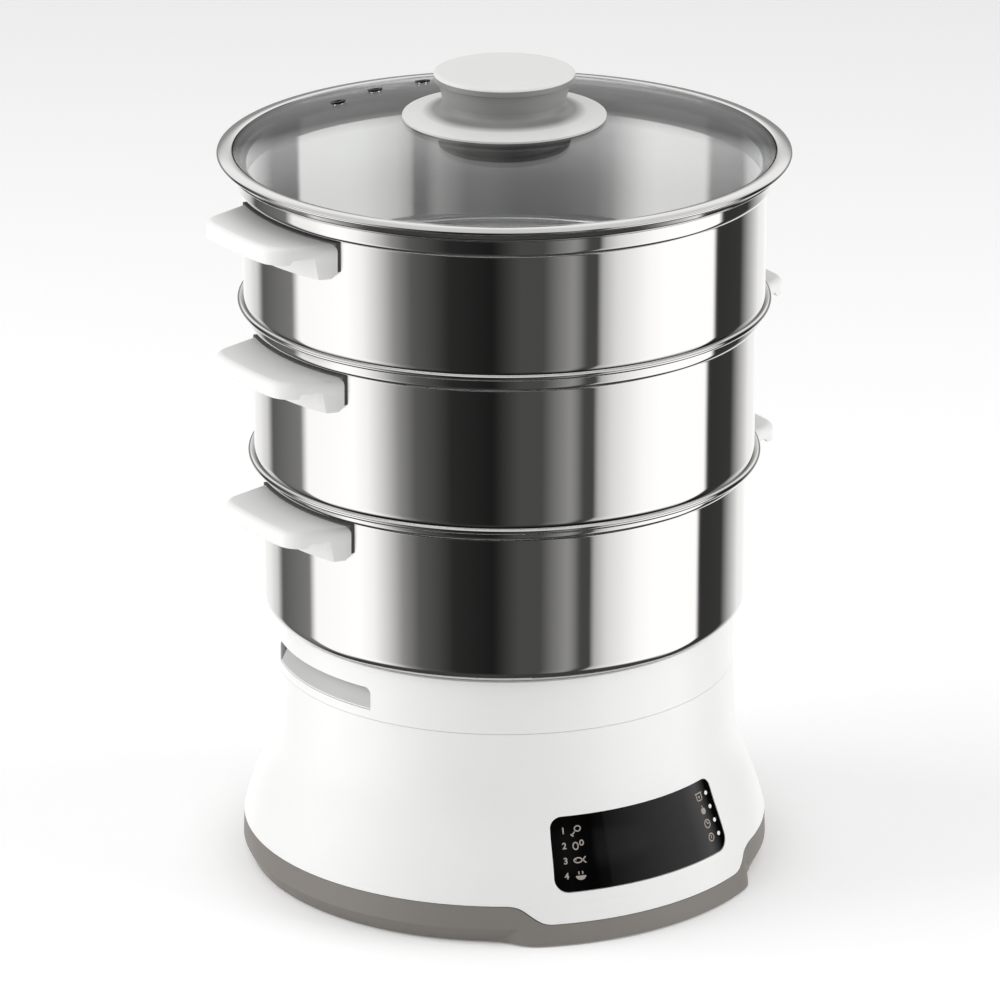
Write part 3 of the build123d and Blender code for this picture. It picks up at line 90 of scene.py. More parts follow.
# ---------------------------------------------------------------- colours and nodes
def linear(hex_colour: str) -> Colour:
    """Turns an sRGB hex colour into linear RGBA.

    Args:
        hex_colour: the colour as "#rrggbb".

    Returns:
        The colour as linear red, green, blue and an alpha of 1.
    """
    channels = [int(hex_colour[start:start + 2], 16) / 255 for start in (1, 3, 5)]
    red, green, blue = (
        value / 12.92 if value <= 0.04045 else ((value + 0.055) / 1.055) ** 2.4
        for value in channels
    )
    return (red, green, blue, 1.0)


def feed(tree: Tree, node: Node, inputs: dict[Any, Any]) -> None:
    """Fills or links a node's inputs.

    Args:
        tree: the node tree that the node is in.
        node: the node.
        inputs: socket name or number to a value, or to an output socket to link from.
    """
    for key, value in inputs.items():
        if isinstance(value, Socket):
            tree.links.new(value, node.inputs[key])
        else:
            node.inputs[key].default_value = value


def add_node(tree: Tree, kind: str, inputs: dict[Any, Any] | None = None, **settings: Any) -> Node:
    """Adds a node with its settings, and fills or links its inputs.

    Args:
        tree: the node tree that the node goes in.
        kind: the node's Blender type name.
        inputs: socket name or number to a value, or to an output socket to link from.
        **settings: properties of the node itself.

    Returns:
        The new node.
    """
    node = tree.nodes.new(kind)
    for name, value in settings.items():
        setattr(node, name, value)
    feed(tree, node, inputs or {})
    return node


def grey(tone: float) -> Colour:
    """A linear grey."""
    return (tone, tone, tone, 1.0)


def object_space(tree: Tree) -> Socket:
    """Adds the place on the object."""
    return add_node(tree, "ShaderNodeTexCoord").outputs["Object"]


def axis_space(tree: Tree) -> tuple[Socket, Socket, Socket]:
    """Adds the place on the object by the tower's axis.

    Args:
        tree: the material's node tree.

    Returns:
        The distance from the axis, the height, and the place laid flat on the floor.
    """
    parts = add_node(tree, "ShaderNodeSeparateXYZ", {"Vector": object_space(tree)})
    flat = add_node(tree, "ShaderNodeCombineXYZ", {
        "X": parts.outputs["X"], "Y": parts.outputs["Y"]}).outputs["Vector"]
    radius = add_node(tree, "ShaderNodeVectorMath", {0: flat}, operation="LENGTH")
    return radius.outputs["Value"], parts.outputs["Z"], flat


def calculate(tree: Tree, operation: str, first: Socket | float, second: Socket | float) -> Socket:
    """Adds one step of arithmetic."""
    return add_node(tree, "ShaderNodeMath", {0: first, 1: second}, operation=operation).outputs[0]


def bearing(tree: Tree, way: Socket) -> tuple[Socket, Socket]:
    """Adds the angle of a direction round the tower's axis.

    Args:
        tree: the node tree.
        way: the direction.

    Returns:
        The angle from the front in radians, positive towards +X, and the direction's height.
    """
    parts = add_node(tree, "ShaderNodeSeparateXYZ", {"Vector": way})
    front = calculate(tree, "MULTIPLY", parts.outputs["Y"], -1.0)
    return calculate(tree, "ARCTAN2", parts.outputs["X"], front), parts.outputs["Z"]


def noise(tree: Tree, place: Socket, size_mm: float, detail: float) -> Socket:
    """Adds a cloudy pattern."""
    return add_node(tree, "ShaderNodeTexNoise", {
        "Vector": place, "Scale": 1 / (size_mm * MM), "Detail": detail}).outputs["Fac"]


def remap(tree: Tree, value: Socket, before: Point2, after: Point2 = (0.0, 1.0)) -> Socket:
    """Adds a straight-line map that stops at both its ends."""
    return add_node(tree, "ShaderNodeMapRange", {
        "Value": value, "From Min": before[0], "From Max": before[1],
        "To Min": after[0], "To Max": after[1]}).outputs["Result"]


def blend(tree: Tree, share: Socket | float, first: Socket | Colour, second: Socket | Colour,
          **settings: Any) -> Socket:
    """Adds a mix of two colours."""
    return add_node(tree, "ShaderNodeMix", {0: share, 6: first, 7: second},
                    data_type="RGBA", **settings).outputs[2]


def bumpy(tree: Tree, height: Socket, strength: float, depth_mm: float,
          **over: Socket) -> Socket:
    """Adds relief to the surface."""
    return add_node(tree, "ShaderNodeBump", {
        "Height": height, **over, "Strength": strength,
        "Distance": depth_mm * MM}).outputs["Normal"]


def ramp(tree: Tree, share: Socket, stops: Sequence[tuple[float, Colour]]) -> Socket:
    """Adds a run of colours.

    Args:
        tree: the node tree.
        share: where along the run, 0 to 1.
        stops: positions from 0 to 1 with their colours, in order.

    Returns:
        The colour there.
    """
    node = add_node(tree, "ShaderNodeValToRGB", {"Fac": share})
    elements = node.color_ramp.elements
    while len(elements) > 1:
        elements.remove(elements[-1])
    elements[0].position, elements[0].color = stops[0]
    for position, colour in stops[1:]:
        elements.new(position).color = colour
    return node.outputs["Color"]


@dataclass(frozen=True)
class Zone:
    """A part of a surface by its distance from the tower's axis and its height, millimetres.

    Attributes:
        inside: radius up to which the zone is full.
        outside: radius at which it has faded away.
        low: height of its lower end.
        high: height of its upper end.
    """

    inside: float
    outside: float
    low: float
    high: float

    def mask(self, tree: Tree) -> Socket:
        """Adds the nodes that find the zone.

        Args:
            tree: the material's node tree.

        Returns:
            A socket that is 1 in the zone and 0 outside it.
        """
        radius, height, _ = axis_space(tree)
        near = remap(tree, radius, (self.outside * MM, self.inside * MM))
        above = calculate(tree, "GREATER_THAN", height, self.low * MM)
        below = calculate(tree, "LESS_THAN", height, self.high * MM)
        return calculate(tree, "MULTIPLY", near, calculate(tree, "MULTIPLY", above, below))


# ---------------------------------------------------------------- finishes
@dataclass(frozen=True)
class Finish:
    """A real material and how its surface was made.

    Attributes:
        name: the material's common name.
        colour: its usual colour, sRGB hex.
        roughness: its usual roughness.
    """

    name: str
    colour: str
    roughness: float

    def material(self) -> bpy.types.Material:
        """Gives the material, made at its first use.

        Returns:
            The Blender material.
        """
        made = bpy.data.materials.get(self.name)
        if made is None:
            made = bpy.data.materials.new(self.name)
            made.use_nodes = True
            tree = made.node_tree
            tree.nodes.clear()
            shader = add_node(tree, "ShaderNodeBsdfPrincipled", {
                "Base Color": linear(self.colour), "Roughness": self.roughness})
            self.weave(tree, shader)
            add_node(tree, "ShaderNodeOutputMaterial", {"Surface": shader.outputs["BSDF"]})
            made.diffuse_color = linear(self.colour)
        return made

    def weave(self, tree: Tree, shader: Node) -> None:
        """Adds the pattern and relief to the shader.

        Args:
            tree: the material's node tree.
            shader: its Principled node.
        """

    def dress(self, *objects: bpy.types.Object) -> None:
        """Puts this finish on objects, in place of what they carry.

        Args:
            *objects: the mesh objects to dress.
        """
        for thing in objects:
            if not thing.material_slots:
                thing.data.materials.append(self.material())
            for place in thing.material_slots:
                place.material = self.material()


@dataclass(frozen=True)
class Plastic(Finish):
    """Injection-moulded plastic: even colour with a faint flow mottle, and a fine skin.

    Attributes:
        flow_colour: the colour that the flow mottle drifts to.
        grain_mm: spacing of the skin's grain.
        grain_depth: strength of the grain, 0 to 1.
        relief: how the skin was made.
        flow_mm: size of the flow mottle.
        drift: how much the roughness wanders.
    """

    flow_colour: str = "#f0f0ee"
    grain_mm: float = 0.9
    grain_depth: float = 0.04
    relief: Relief = Relief.MOULDED
    flow_mm: float = 45.0
    drift: float = 0.08

    def weave(self, tree: Tree, shader: Node) -> None:
        """Mottle in the colour, drift in the gloss, grain in the normal."""
        place = object_space(tree)
        flow = noise(tree, place, self.flow_mm, 3.0)
        grain = noise(tree, place, self.grain_mm, self.relief.value)
        feed(tree, shader, {
            "Base Color": blend(tree, flow, linear(self.colour), linear(self.flow_colour)),
            "Roughness": remap(tree, flow, NOISE_SPAN, (
                self.roughness * (1 - self.drift), self.roughness * (1 + self.drift))),
            "Normal": bumpy(tree, grain, self.grain_depth, 0.2)})


@dataclass(frozen=True)
class TwoTonePlastic(Plastic):
    """Moulded plastic with painted shade: a greyer tone in one zone.

    Attributes:
        zone: where the painted shade is.
        zone_colour: the colour of the painted shade.
    """

    zone: Zone = Zone(0.0, 0.0, 0.0, 0.0)
    zone_colour: str = "#a8a8a7"

    def weave(self, tree: Tree, shader: Node) -> None:
        """The plastic, then the painted shade over its colour."""
        super().weave(tree, shader)
        first = shader.inputs["Base Color"].links[0].from_socket
        feed(tree, shader, {
            "Base Color": blend(tree, self.zone.mask(tree), first, linear(self.zone_colour))})


@dataclass(frozen=True)
class Steel(Finish):
    """Drawn and polished stainless steel: a mirror with faint rings from the polishing wheel.

    Attributes:
        line_mm: spacing of the polishing rings.
        line_depth: strength of the rings, 0 to 1.
        smear: how much the roughness wanders.
        smear_mm: size of the wiped patches.
        groove_mm: reach of the painted shade that darkens the colour in grooves and close corners.
        groove_tone: how bright the painted shade leaves a groove at its darkest.
        ripple_mm: spacing of the shallow upright ripples that drawing leaves in the wall.
        ripple_depth: strength of the ripples, 0 to 1.
        bowl_radius: the radius that the ripples' spacing is worked out at.
        shaded: inner zones of painted shade, coloured dark as a painted reflection of the dark
            inside of the piece.
        shaded_colour: the colour of the painted shade in them.
    """

    line_mm: float = 0.45
    line_depth: float = 0.02
    smear: float = 0.25
    smear_mm: float = 38.0
    groove_mm: float = 16.0
    groove_tone: float = 0.12
    ripple_mm: float = 14.0
    ripple_depth: float = 0.04
    bowl_radius: float = 116.0
    shaded: tuple[Zone, ...] = ()
    shaded_colour: str = "#555554"

    def weave(self, tree: Tree, shader: Node) -> None:
        """Rings round the tower's axis in the normal, wiped patches in the gloss, painted shade in
        the colour.
        """
        radius, height, flat = axis_space(tree)
        across = add_node(tree, "ShaderNodeCombineXYZ", {"X": radius, "Z": height})
        rings = noise(tree, across.outputs["Vector"], self.line_mm, 2.0)
        wiped = noise(tree, object_space(tree), self.smear_mm, 4.0)
        heading = add_node(tree, "ShaderNodeVectorMath", {0: flat}, operation="NORMALIZE")
        ripple = add_node(tree, "ShaderNodeTexNoise", {
            "Vector": heading.outputs["Vector"], "Scale": self.bowl_radius / self.ripple_mm,
            "Detail": 3.0})
        normal = bumpy(tree, ripple.outputs["Fac"], self.ripple_depth, 0.2,
                       Normal=bumpy(tree, rings, self.line_depth, 0.05))
        # Painted shade: an occlusion test darkens the steel's colour in grooves and close corners.
        groove_shade = add_node(tree, "ShaderNodeAmbientOcclusion", {
            "Distance": self.groove_mm * MM, "Normal": normal}, samples=16)
        unshaded_share = remap(tree, groove_shade.outputs["AO"], (0.3, 0.6), (self.groove_tone, 1.0))
        tone = blend(tree, unshaded_share, grey(0.0), linear(self.colour))
        # Painted shade: the shaded zones take a dark colour, a painted reflection of the piece's
        # dark inside.
        for zone in self.shaded:
            tone = blend(tree, zone.mask(tree), tone, linear(self.shaded_colour))
        feed(tree, shader, {
            "Base Color": tone,
            "Roughness": remap(tree, wiped, NOISE_SPAN, (
                self.roughness * (1 - self.smear), self.roughness * (1 + self.smear))),
            "Normal": normal, "Metallic": 1.0})


@dataclass(frozen=True)
class SealedSteel(Steel):
    """Polished steel with a dull grey band of painted shade on the ledge under the glass, for the
    shadow at the glass's edge.

    Attributes:
        sealant: where the band of painted shade is.
        sealant_colour: its colour.
        sealant_roughness: its roughness.
    """

    sealant: Zone = Zone(124.9, 125.0, 340.3, 346.0)
    sealant_colour: str = "#5c5c5a"
    sealant_roughness: float = 0.6

    def weave(self, tree: Tree, shader: Node) -> None:
        """The steel, then the band of painted shade over it."""
        super().weave(tree, shader)
        # Painted shade: a dull grey band on the ledge under the glass stands for the shadow at the
        # glass's edge.
        mask = self.sealant.mask(tree)
        steel = shader.inputs["Base Color"].links[0].from_socket
        feed(tree, shader, {
            "Base Color": blend(tree, mask, steel, linear(self.sealant_colour)),
            "Metallic": calculate(tree, "SUBTRACT", 1.0, mask),
            "Roughness": remap(tree, mask, (0.0, 1.0), (
                self.roughness, self.sealant_roughness))})


@dataclass(frozen=True)
class Casting(Finish):
    """Cast or plated metal: metallic, with a soft crystalline mottle.

    Attributes:
        dark_colour: the mottle's darker colour.
        crystal_mm: size of the mottle.
        depth: strength of the relief, 0 to 1.
    """

    dark_colour: str = "#8c8c8e"
    crystal_mm: float = 1.4
    depth: float = 0.15

    def weave(self, tree: Tree, shader: Node) -> None:
        """Cells in the colour and the normal."""
        cells = add_node(tree, "ShaderNodeTexVoronoi", {
            "Vector": object_space(tree),
            "Scale": 1 / (self.crystal_mm * MM)}).outputs["Distance"]
        feed(tree, shader, {
            "Base Color": blend(tree, cells, linear(self.colour), linear(self.dark_colour)),
            "Normal": bumpy(tree, cells, self.depth, 0.1), "Metallic": 1.0})


@dataclass(frozen=True)
class Rubber(Finish):
    """Moulded rubber or silicone: dull, with a dusty bloom.

    Attributes:
        bloom_colour: the dusty colour.
        bloom_mm: size of the dusty patches.
        skin_mm: spacing of the powdery skin.
    """

    bloom_colour: str = "#2c2c2c"
    bloom_mm: float = 6.0
    skin_mm: float = 0.5

    def weave(self, tree: Tree, shader: Node) -> None:
        """Bloom in the colour, a powdery skin in the normal."""
        place = object_space(tree)
        dust = noise(tree, place, self.bloom_mm, 5.0)
        feed(tree, shader, {
            "Base Color": blend(tree, dust, linear(self.colour), linear(self.bloom_colour)),
            "Normal": bumpy(tree, noise(tree, place, self.skin_mm, 3.0), 0.15, 0.1)})


@dataclass(frozen=True)
class CircuitBoard(Finish):
    """Glass-fibre laminate under solder mask: copper tracks show as lighter lanes.

    Attributes:
        track_colour: colour of the mask over copper.
        track_mm: spacing of the tracks.
    """

    track_colour: str = "#2f8a4e"
    track_mm: float = 2.5

    def weave(self, tree: Tree, shader: Node) -> None:
        """Stepped lanes in the colour and the normal."""
        lanes = add_node(tree, "ShaderNodeTexBrick", {
            "Vector": object_space(tree), "Scale": 1 / (self.track_mm * 4 * MM),
            "Mortar Size": 0.03, "Color1": linear(self.colour),
            "Color2": linear(self.track_colour), "Mortar": linear(self.colour)})
        feed(tree, shader, {
            "Base Color": lanes.outputs["Color"],
            "Normal": bumpy(tree, lanes.outputs["Fac"], 0.2, 0.05)})


@dataclass(frozen=True)
class TemperedGlass(Finish):
    """Clear tempered soda-lime glass: faintly green in its depth, very slightly wavy.

    Attributes:
        wave_mm: spacing of the tempering waves.
    """

    wave_mm: float = 40.0

    def weave(self, tree: Tree, shader: Node) -> None:
        """Full transmission, with a slow wave in the normal."""
        wave = noise(tree, object_space(tree), self.wave_mm, 0.0)
        feed(tree, shader, {
            "Normal": bumpy(tree, wave, 0.05, 0.2), "Transmission Weight": 1.0, "IOR": 1.5})


@dataclass(frozen=True)
class SmokedPanel(Finish):
    """Black-backed acrylic: a deep gloss black, smoky grey over the display behind it.

    Attributes:
        edge_colour: colour of the smoky window at its left edge.
        middle_colour: its colour some way from its right edge.
        window_colour: colour that it deepens to on its right.
        window_from: left edge of the window, degrees from the panel's middle.
        window_to: right edge.
        reach: the angle that the panel's ends stay inside.
        haze_mm: size of the wiped patches.
    """

    edge_colour: str = "#121112"
    middle_colour: str = "#353435"
    window_colour: str = "#464546"
    window_from: float = -10.9
    window_to: float = 18.0
    reach: float = 24.0
    haze_mm: float = 18.0

    def weave(self, tree: Tree, shader: Node) -> None:
        """The window by the angle round the tower's axis, and a wiped haze in the gloss."""
        place = object_space(tree)
        angle, _ = bearing(tree, place)
        reach = math.radians(self.reach)
        colours = (
            (-self.reach, self.colour), (self.window_from, self.colour),
            (self.window_from + 0.6, self.edge_colour), (self.window_to - 5, self.middle_colour),
            (self.window_to, self.window_colour), (self.window_to + 4, self.colour))
        haze = noise(tree, place, self.haze_mm, 4.0)
        feed(tree, shader, {
            "Base Color": ramp(tree, remap(tree, angle, (-reach, reach)), [
                ((degrees + self.reach) / (2 * self.reach), linear(colour))
                for degrees, colour in colours]),
            "Roughness": remap(tree, haze, (0.35, 0.7), (
                self.roughness * 0.7, self.roughness * 1.4)),
            "IOR": 1.25})


# White ABS, moulded against a polished tool: a clean satin white that keeps soft highlights.
WHITE_ABS = Plastic("white_abs_moulded", "#f1f1f0", 0.30, flow_colour="#ededec")
# The same white with a silkier skin, where hands hold it.
HANDLE_ABS = Plastic("white_abs_silk", "#f0f0ef", 0.38, flow_colour="#ececea", grain_depth=0.06)
# Knob: silky white, with painted shade in grey round the stem and under the cap's edge, fading out
# over the flange as a painted contact shadow.
KNOB_ABS = TwoTonePlastic("white_abs_knob", "#e6e6e5", 0.38, flow_colour="#e2e2e0",
                          grain_depth=0.06, zone=Zone(32.6, 38.0, 0.0, 380.2),
                          zone_colour="#8f8f8e")
# Collector: gloss white, with painted shade in a mid grey on the pocket behind its filling slots.
COLLECTOR_ABS = TwoTonePlastic("white_abs_collector", "#f1f1f0", 0.30, flow_colour="#ededec",
                               zone=Zone(107.5, 107.6, 100.0, 114.2), zone_colour="#bcbcbb")
# Glass-filled polypropylene, spark-eroded tool: warm grey, dull, finely grained.
GREY_PP = Plastic("grey_polypropylene_grained", "#85807b", 0.55, flow_colour="#7d7873",
                  grain_mm=0.6, grain_depth=0.35, relief=Relief.GRAINED)
# Natural polypropylene of the tank: milky and waxy.
TANK_PP = Plastic("natural_polypropylene", "#dcdcd8", 0.42, flow_colour="#d2d2cc")
# Black nylon cases on the boards.
BLACK_NYLON = Plastic("black_nylon", "#151515", 0.5, flow_colour="#1d1d1d", grain_depth=0.2,
                      relief=Relief.GRAINED)
# Printing ink, matt and slightly warm.
SCREEN_INK = Plastic("screen_ink", "#a8a099", 0.6, flow_colour="#9c948d", grain_depth=0.1)
# Lamp windows: bright milky dots.
LAMP_LENS = Plastic("milky_lamp_lens", "#eeeeec", 0.35, flow_colour="#e4e4e2")
# 18/10 stainless steel, deep drawn, wheel polished; painted shade darkens the ledge and round
# corner inside each bowl's foot.
BOWL_STEEL = Steel("stainless_polished", "#dcdbd9", 0.05, shaded=(
    Zone(110.6, 110.7, 124.5, 129.8), Zone(114.6, 114.7, 197.8, 203.1),
    Zone(118.6, 118.7, 271.3, 276.6)))
# Perforated floor sheet, duller from its punching and tumbling, its dark colour painted shade for
# the floors' place deep inside the bowls.
FLOOR_STEEL = Steel("stainless_perforated", "#3d3d3c", 0.24, line_depth=0.05)
# The lid's pressed ring, of the same steel, with a dull grey band of painted shade under the
# glass's edge and painted shade on its skirt and underside.
RING_STEEL = SealedSteel("stainless_polished_ring", "#dcdbd9", 0.09,
                         shaded=(Zone(124.9, 125.0, 0.0, 340.3),))
# Stainless strip for brackets, washers and the heater plate: rolled, half dull.
STRIP_STEEL = Steel("stainless_rolled", "#b9b9b8", 0.28, line_depth=0.1, ripple_depth=0.0)
# Zinc-plated screws: bluish with a light crystal.
ZINC_PLATE = Casting("zinc_plate", "#b4b8bd", 0.32, dark_colour="#94989d", crystal_mm=0.8,
                     depth=0.08)
# Die-cast aluminium block.
CAST_ALUMINIUM = Casting("aluminium_die_cast", "#b6b6b8", 0.42)
# Tempered lid glass.
LID_GLASS = TemperedGlass("tempered_glass", "#d2d4d3", 0.0)
# Touch panel.
TOUCH_PANEL = SmokedPanel("smoked_acrylic", "#050404", 0.06)
BLACK_RUBBER = Rubber("black_rubber", "#141414", 0.75)
SILICONE = Rubber("clear_silicone", "#c9c8c2", 0.5, bloom_colour="#d8d7d2")
RED_SLEEVE = Rubber("silicone_sleeve", "#8f1f1b", 0.5, bloom_colour="#a2302a")
GREEN_BOARD = CircuitBoard("solder_mask", "#14532d", 0.35)

NODE_FINISHES: dict[str, Finish] = {
    "base_housing": WHITE_ABS,
    "bottom_cover": GREY_PP,
    "control_panel": TOUCH_PANEL,
    "rubber_feet": BLACK_RUBBER,
    "cover_screws": ZINC_PLATE,
    "cord_gland": BLACK_RUBBER,
    "water_reservoir": TANK_PP,
    "heater_plate": STRIP_STEEL,
    "heater_seal": SILICONE,
    "heater_clamp_ring": ZINC_PLATE,
    "heater_screws": ZINC_PLATE,
    "heater_block": CAST_ALUMINIUM,
    "heating_element": STRIP_STEEL,
    "thermostat": BLACK_NYLON,
    "thermal_fuse": ZINC_PLATE,
    "power_board": GREEN_BOARD,
    "board_screws": ZINC_PLATE,
    "transformer": CAST_ALUMINIUM,
    "relay": BLACK_NYLON,
    "capacitor": BLACK_NYLON,
    "terminal_block": GREEN_BOARD,
    "buzzer": BLACK_NYLON,
    "control_board": GREEN_BOARD,
    "control_board_screws": ZINC_PLATE,
    "display_module": BLACK_NYLON,
    "touch_springs": ZINC_PLATE,
    "indicator_leds": LAMP_LENS,
    "heater_leads": RED_SLEEVE,
    "panel_lead": BLACK_RUBBER,
    "juice_collector": COLLECTOR_ABS,
    "juice_tray": WHITE_ABS,
    "chimney_tube": WHITE_ABS,
    "lid_ring": RING_STEEL,
    "lid_glass": LID_GLASS,
    "vent_eyelets": BLACK_NYLON,
    "knob_body": KNOB_ABS,
    "knob_cap": KNOB_ABS,
    "knob_screw": ZINC_PLATE,
    "knob_washer": STRIP_STEEL,
    "knob_seal": SILICONE,
}
BOWL_PART_FINISHES: dict[str, Finish] = {
    "bowl": BOWL_STEEL,
    "bowl_floor": FLOOR_STEEL,
    "handle_right": HANDLE_ABS,
    "handle_left": HANDLE_ABS,
    "handle_brackets": STRIP_STEEL,
    "handle_screws": ZINC_PLATE,
}
BOWL_NUMBERS = (1, 2, 3)
# For each bowl: its number, its wall's radius and the height of the step over its handles.
HANDLE_PLACES = ((1, 112.0, 194.45), (2, 116.0, 266.62), (3, 120.0, 330.31))
# For each bowl: its number, then its wall's radius, underside, rim, step and rolled edge.
BOWL_PLACES = ((1, 112.0, 124.3, 201.35, 194.85, 1.4), (2, 116.0, 197.58, 275.47, 267.02, 1.4),
               (3, 120.0, 271.06, 339.76, 330.71, 0.5))
# How the names of the nodes start that stay out of the other pieces' mirrors.
UNMIRRORED = ("bowl_", "handle_")


# ---------------------------------------------------------------- studio
@dataclass
class Studio:
    """Camera, pale floor, soft lights and surroundings.

    Attributes:
        distance: camera to the tower's axis, along the floor.
        height: camera above the floor.
        turn: how far the camera stands round from the front, degrees.
        pitch: how far it looks down, degrees.
        lens: focal length in millimetres.
        shift: sideways shift that puts the tower in its place in the frame.
        floor_size: side of the floor.
        glow: how much light the floor gives off.
        fill: brightness of the even light on matt surfaces.
        ceiling: brightness of the surroundings overhead.
        under: their brightness underneath.
        belt: share of their brightness that is left near the horizon.
        aim: height that the lights point at.
    """

    distance: float = 2.671
    height: float = 1.1266
    turn: float = -34.6
    pitch: float = 19.648
    lens: float = 217.77
    shift: float = -0.0044
    floor_size: float = 12.0
    glow: float = 0.14
    fill: float = 0.45
    ceiling: float = 0.8
    under: float = 0.06
    belt: float = 0.3
    aim: float = 0.2

    def build(self) -> None:
        """Puts everything in place."""
        self.place_camera()
        self.lay_floor()
        self.hang_lights()
        self.paint_surroundings()
        settings = bpy.context.scene.view_settings
        settings.view_transform = "Standard"
        settings.look = "None"

    def toward_camera(self, angle: float, radius: float, height: float) -> Vector:
        """A point placed by its angle from the camera."""
        heading = math.radians(self.turn + angle)
        return Vector((radius * math.sin(heading), -radius * math.cos(heading), height))

    def place_camera(self) -> None:
        """Sets the camera at its viewing angle."""
        data = bpy.data.cameras.new("camera")
        data.lens = self.lens
        data.sensor_width = 36.0
        data.shift_x = self.shift
        data.clip_end = 50.0
        camera = bpy.data.objects.new("camera", data)
        camera.location = self.toward_camera(0, self.distance, self.height)
        camera.rotation_euler = (math.radians(90 - self.pitch), 0.0, math.radians(self.turn))
        bpy.context.scene.collection.objects.link(camera)
        bpy.context.scene.camera = camera

    def lay_floor(self) -> None:
        """Lays a pale matt floor that glossy pieces don't mirror."""
        bpy.ops.mesh.primitive_plane_add(size=self.floor_size)
        floor = bpy.context.object
        floor.name = "studio_floor"
        floor.visible_glossy = False
        material = bpy.data.materials.new("studio_paper")
        material.use_nodes = True
        shader = material.node_tree.nodes["Principled BSDF"]
        shader.inputs["Base Color"].default_value = linear("#f7f7f7")
        shader.inputs["Roughness"].default_value = 0.9
        shader.inputs["Emission Color"].default_value = linear("#ffffff")
        shader.inputs["Emission Strength"].default_value = self.glow
        floor.data.materials.append(material)

    def hang_lights(self) -> None:
        """Hangs the large soft lights."""
        for name, angle, radius, height, size, power in (
            ("top_light", 170.0, 0.6, 2.2, 1.8, 6.0),
            ("front_light", -50.0, 0.7, 2.2, 1.8, 4.0),
            ("left_light", -85.0, 1.9, 0.9, 1.4, 23.0),
            ("right_light", 80.0, 1.9, 0.9, 1.4, 19.0),
            ("handle_light", -60.0, 1.0, 1.5, 0.6, 1.2),
        ):
            data = bpy.data.lights.new(name, "AREA")
            data.shape = "SQUARE"
            data.size = size
            data.energy = power
            light = bpy.data.objects.new(name, data)
            light.location = self.toward_camera(angle, radius, height)
            aim = Vector((0, 0, self.aim)) - light.location
            light.rotation_euler = aim.to_track_quat("-Z", "Y").to_euler()
            light.visible_glossy = False
            light.visible_camera = False
            bpy.context.scene.collection.objects.link(light)

    def paint_surroundings(self) -> None:
        """Paints the studio walls that the steel mirrors: white cards with dark gaps between."""
        world = bpy.data.worlds.new("studio")
        bpy.context.scene.world = world
        world.use_nodes = True
        tree = world.node_tree
        tree.nodes.clear()
        turned = add_node(tree, "ShaderNodeVectorRotate", {
            "Vector": add_node(tree, "ShaderNodeTexCoord").outputs["Generated"],
            "Angle": math.radians(-self.turn)}, rotation_type="Z_AXIS")
        angle, height = bearing(tree, turned.outputs["Vector"])
        walls = ramp(tree, remap(tree, angle, (-math.pi, math.pi)), [
            ((degrees + 180) / 360, grey(tone / BRIGHTEST)) for degrees, tone in self.cards()])
        dimmed = ramp(tree, remap(tree, height, (-1.0, 1.0)), [
            ((level + 1) / 2, grey(share)) for level, share in (
                (-0.2, 1.0), (-0.1, self.belt), (0.22, self.belt), (0.32, 1.0))])
        hung = blend(tree, 1.0, walls, dimmed, blend_type="MULTIPLY")
        roofed = blend(tree, remap(tree, height, (0.45, 0.6)), hung,
                       grey(self.ceiling / BRIGHTEST))
        closed = blend(tree, remap(tree, height, (-0.62, -0.74)), roofed,
                       grey(self.under / BRIGHTEST))
        wall, paper, fill = (
            add_node(tree, "ShaderNodeBackground", {"Color": colour, "Strength": strength})
            for colour, strength in ((closed, BRIGHTEST), (linear("#fafafa"), 1.0),
                                     (linear("#ffffff"), self.fill)))
        rays = add_node(tree, "ShaderNodeLightPath")
        soft = add_node(tree, "ShaderNodeMixShader", {
            0: rays.outputs["Is Diffuse Ray"], 1: wall.outputs[0], 2: fill.outputs[0]})
        seen = add_node(tree, "ShaderNodeMixShader", {
            0: rays.outputs["Is Camera Ray"], 1: soft.outputs[0], 2: paper.outputs[0]})
        add_node(tree, "ShaderNodeOutputWorld", {"Surface": seen.outputs[0]})

    @staticmethod
    def cards() -> list[tuple[float, float]]:
        """The cards and gaps round the studio.

        Returns:
            Angles from the camera, positive to the right of the picture, with brightness.
        """
        return [
            (-180, 1.1), (-152, 1.05), (-140, 0.8), (-133, 0.13), (-107, 0.25), (-104, 0.9),
            (-102, 1.33), (-73, 1.42), (-65, 1.25), (-57, 0.82), (-49, 0.34), (-41, 0.13),
            (-32, 0.08), (-24, 0.03), (-5, 0.015), (7, 0.085), (17, 0.085), (23, 0.22),
            (30, 0.36), (33, 0.26), (36, 0.08), (41.8, 0.07), (42.4, 0.52), (50, 0.95),
            (66, 1.33), (76, 1.42), (104, 1.4), (107, 0.04), (127, 0.05), (136, 0.5), (150, 1.05),
            (180, 1.1)]


def leave_unmirrored(thing: bpy.types.Object) -> None:
    """Keeps a piece out of the other pieces' mirrors, so that the steel shows the studio's cards.

    Args:
        thing: the piece.
    """
    thing.visible_glossy = False


# ---------------------------------------------------------------- shaping by hand
class Pick(Enum):
    """What is picked in edit mode, with Blender's name for it."""

    POINTS = "VERT"
    EDGES = "EDGE"
    FACES = "FACE"


def deselect_all() -> None:
    """Clears the selection."""
    bpy.ops.object.select_all(action="DESELECT")


def choose(*things: bpy.types.Object) -> None:
    """Selects objects and makes the last one active.

    Args:
        *things: the objects.
    """
    deselect_all()
    for thing in things:
        thing.select_set(True)
    bpy.context.view_layer.objects.active = things[-1]


@contextmanager
def edit_mode(thing: bpy.types.Object) -> Iterator[None]:
    """Opens edit mode on an object with all of it selected, and closes it again.

    Args:
        thing: the mesh object.
    """
    choose(thing)
    bpy.ops.object.mode_set(mode="EDIT")
    bpy.ops.mesh.select_mode(type=Pick.POINTS.value)
    pick_all()
    yield
    bpy.ops.object.mode_set(mode="OBJECT")


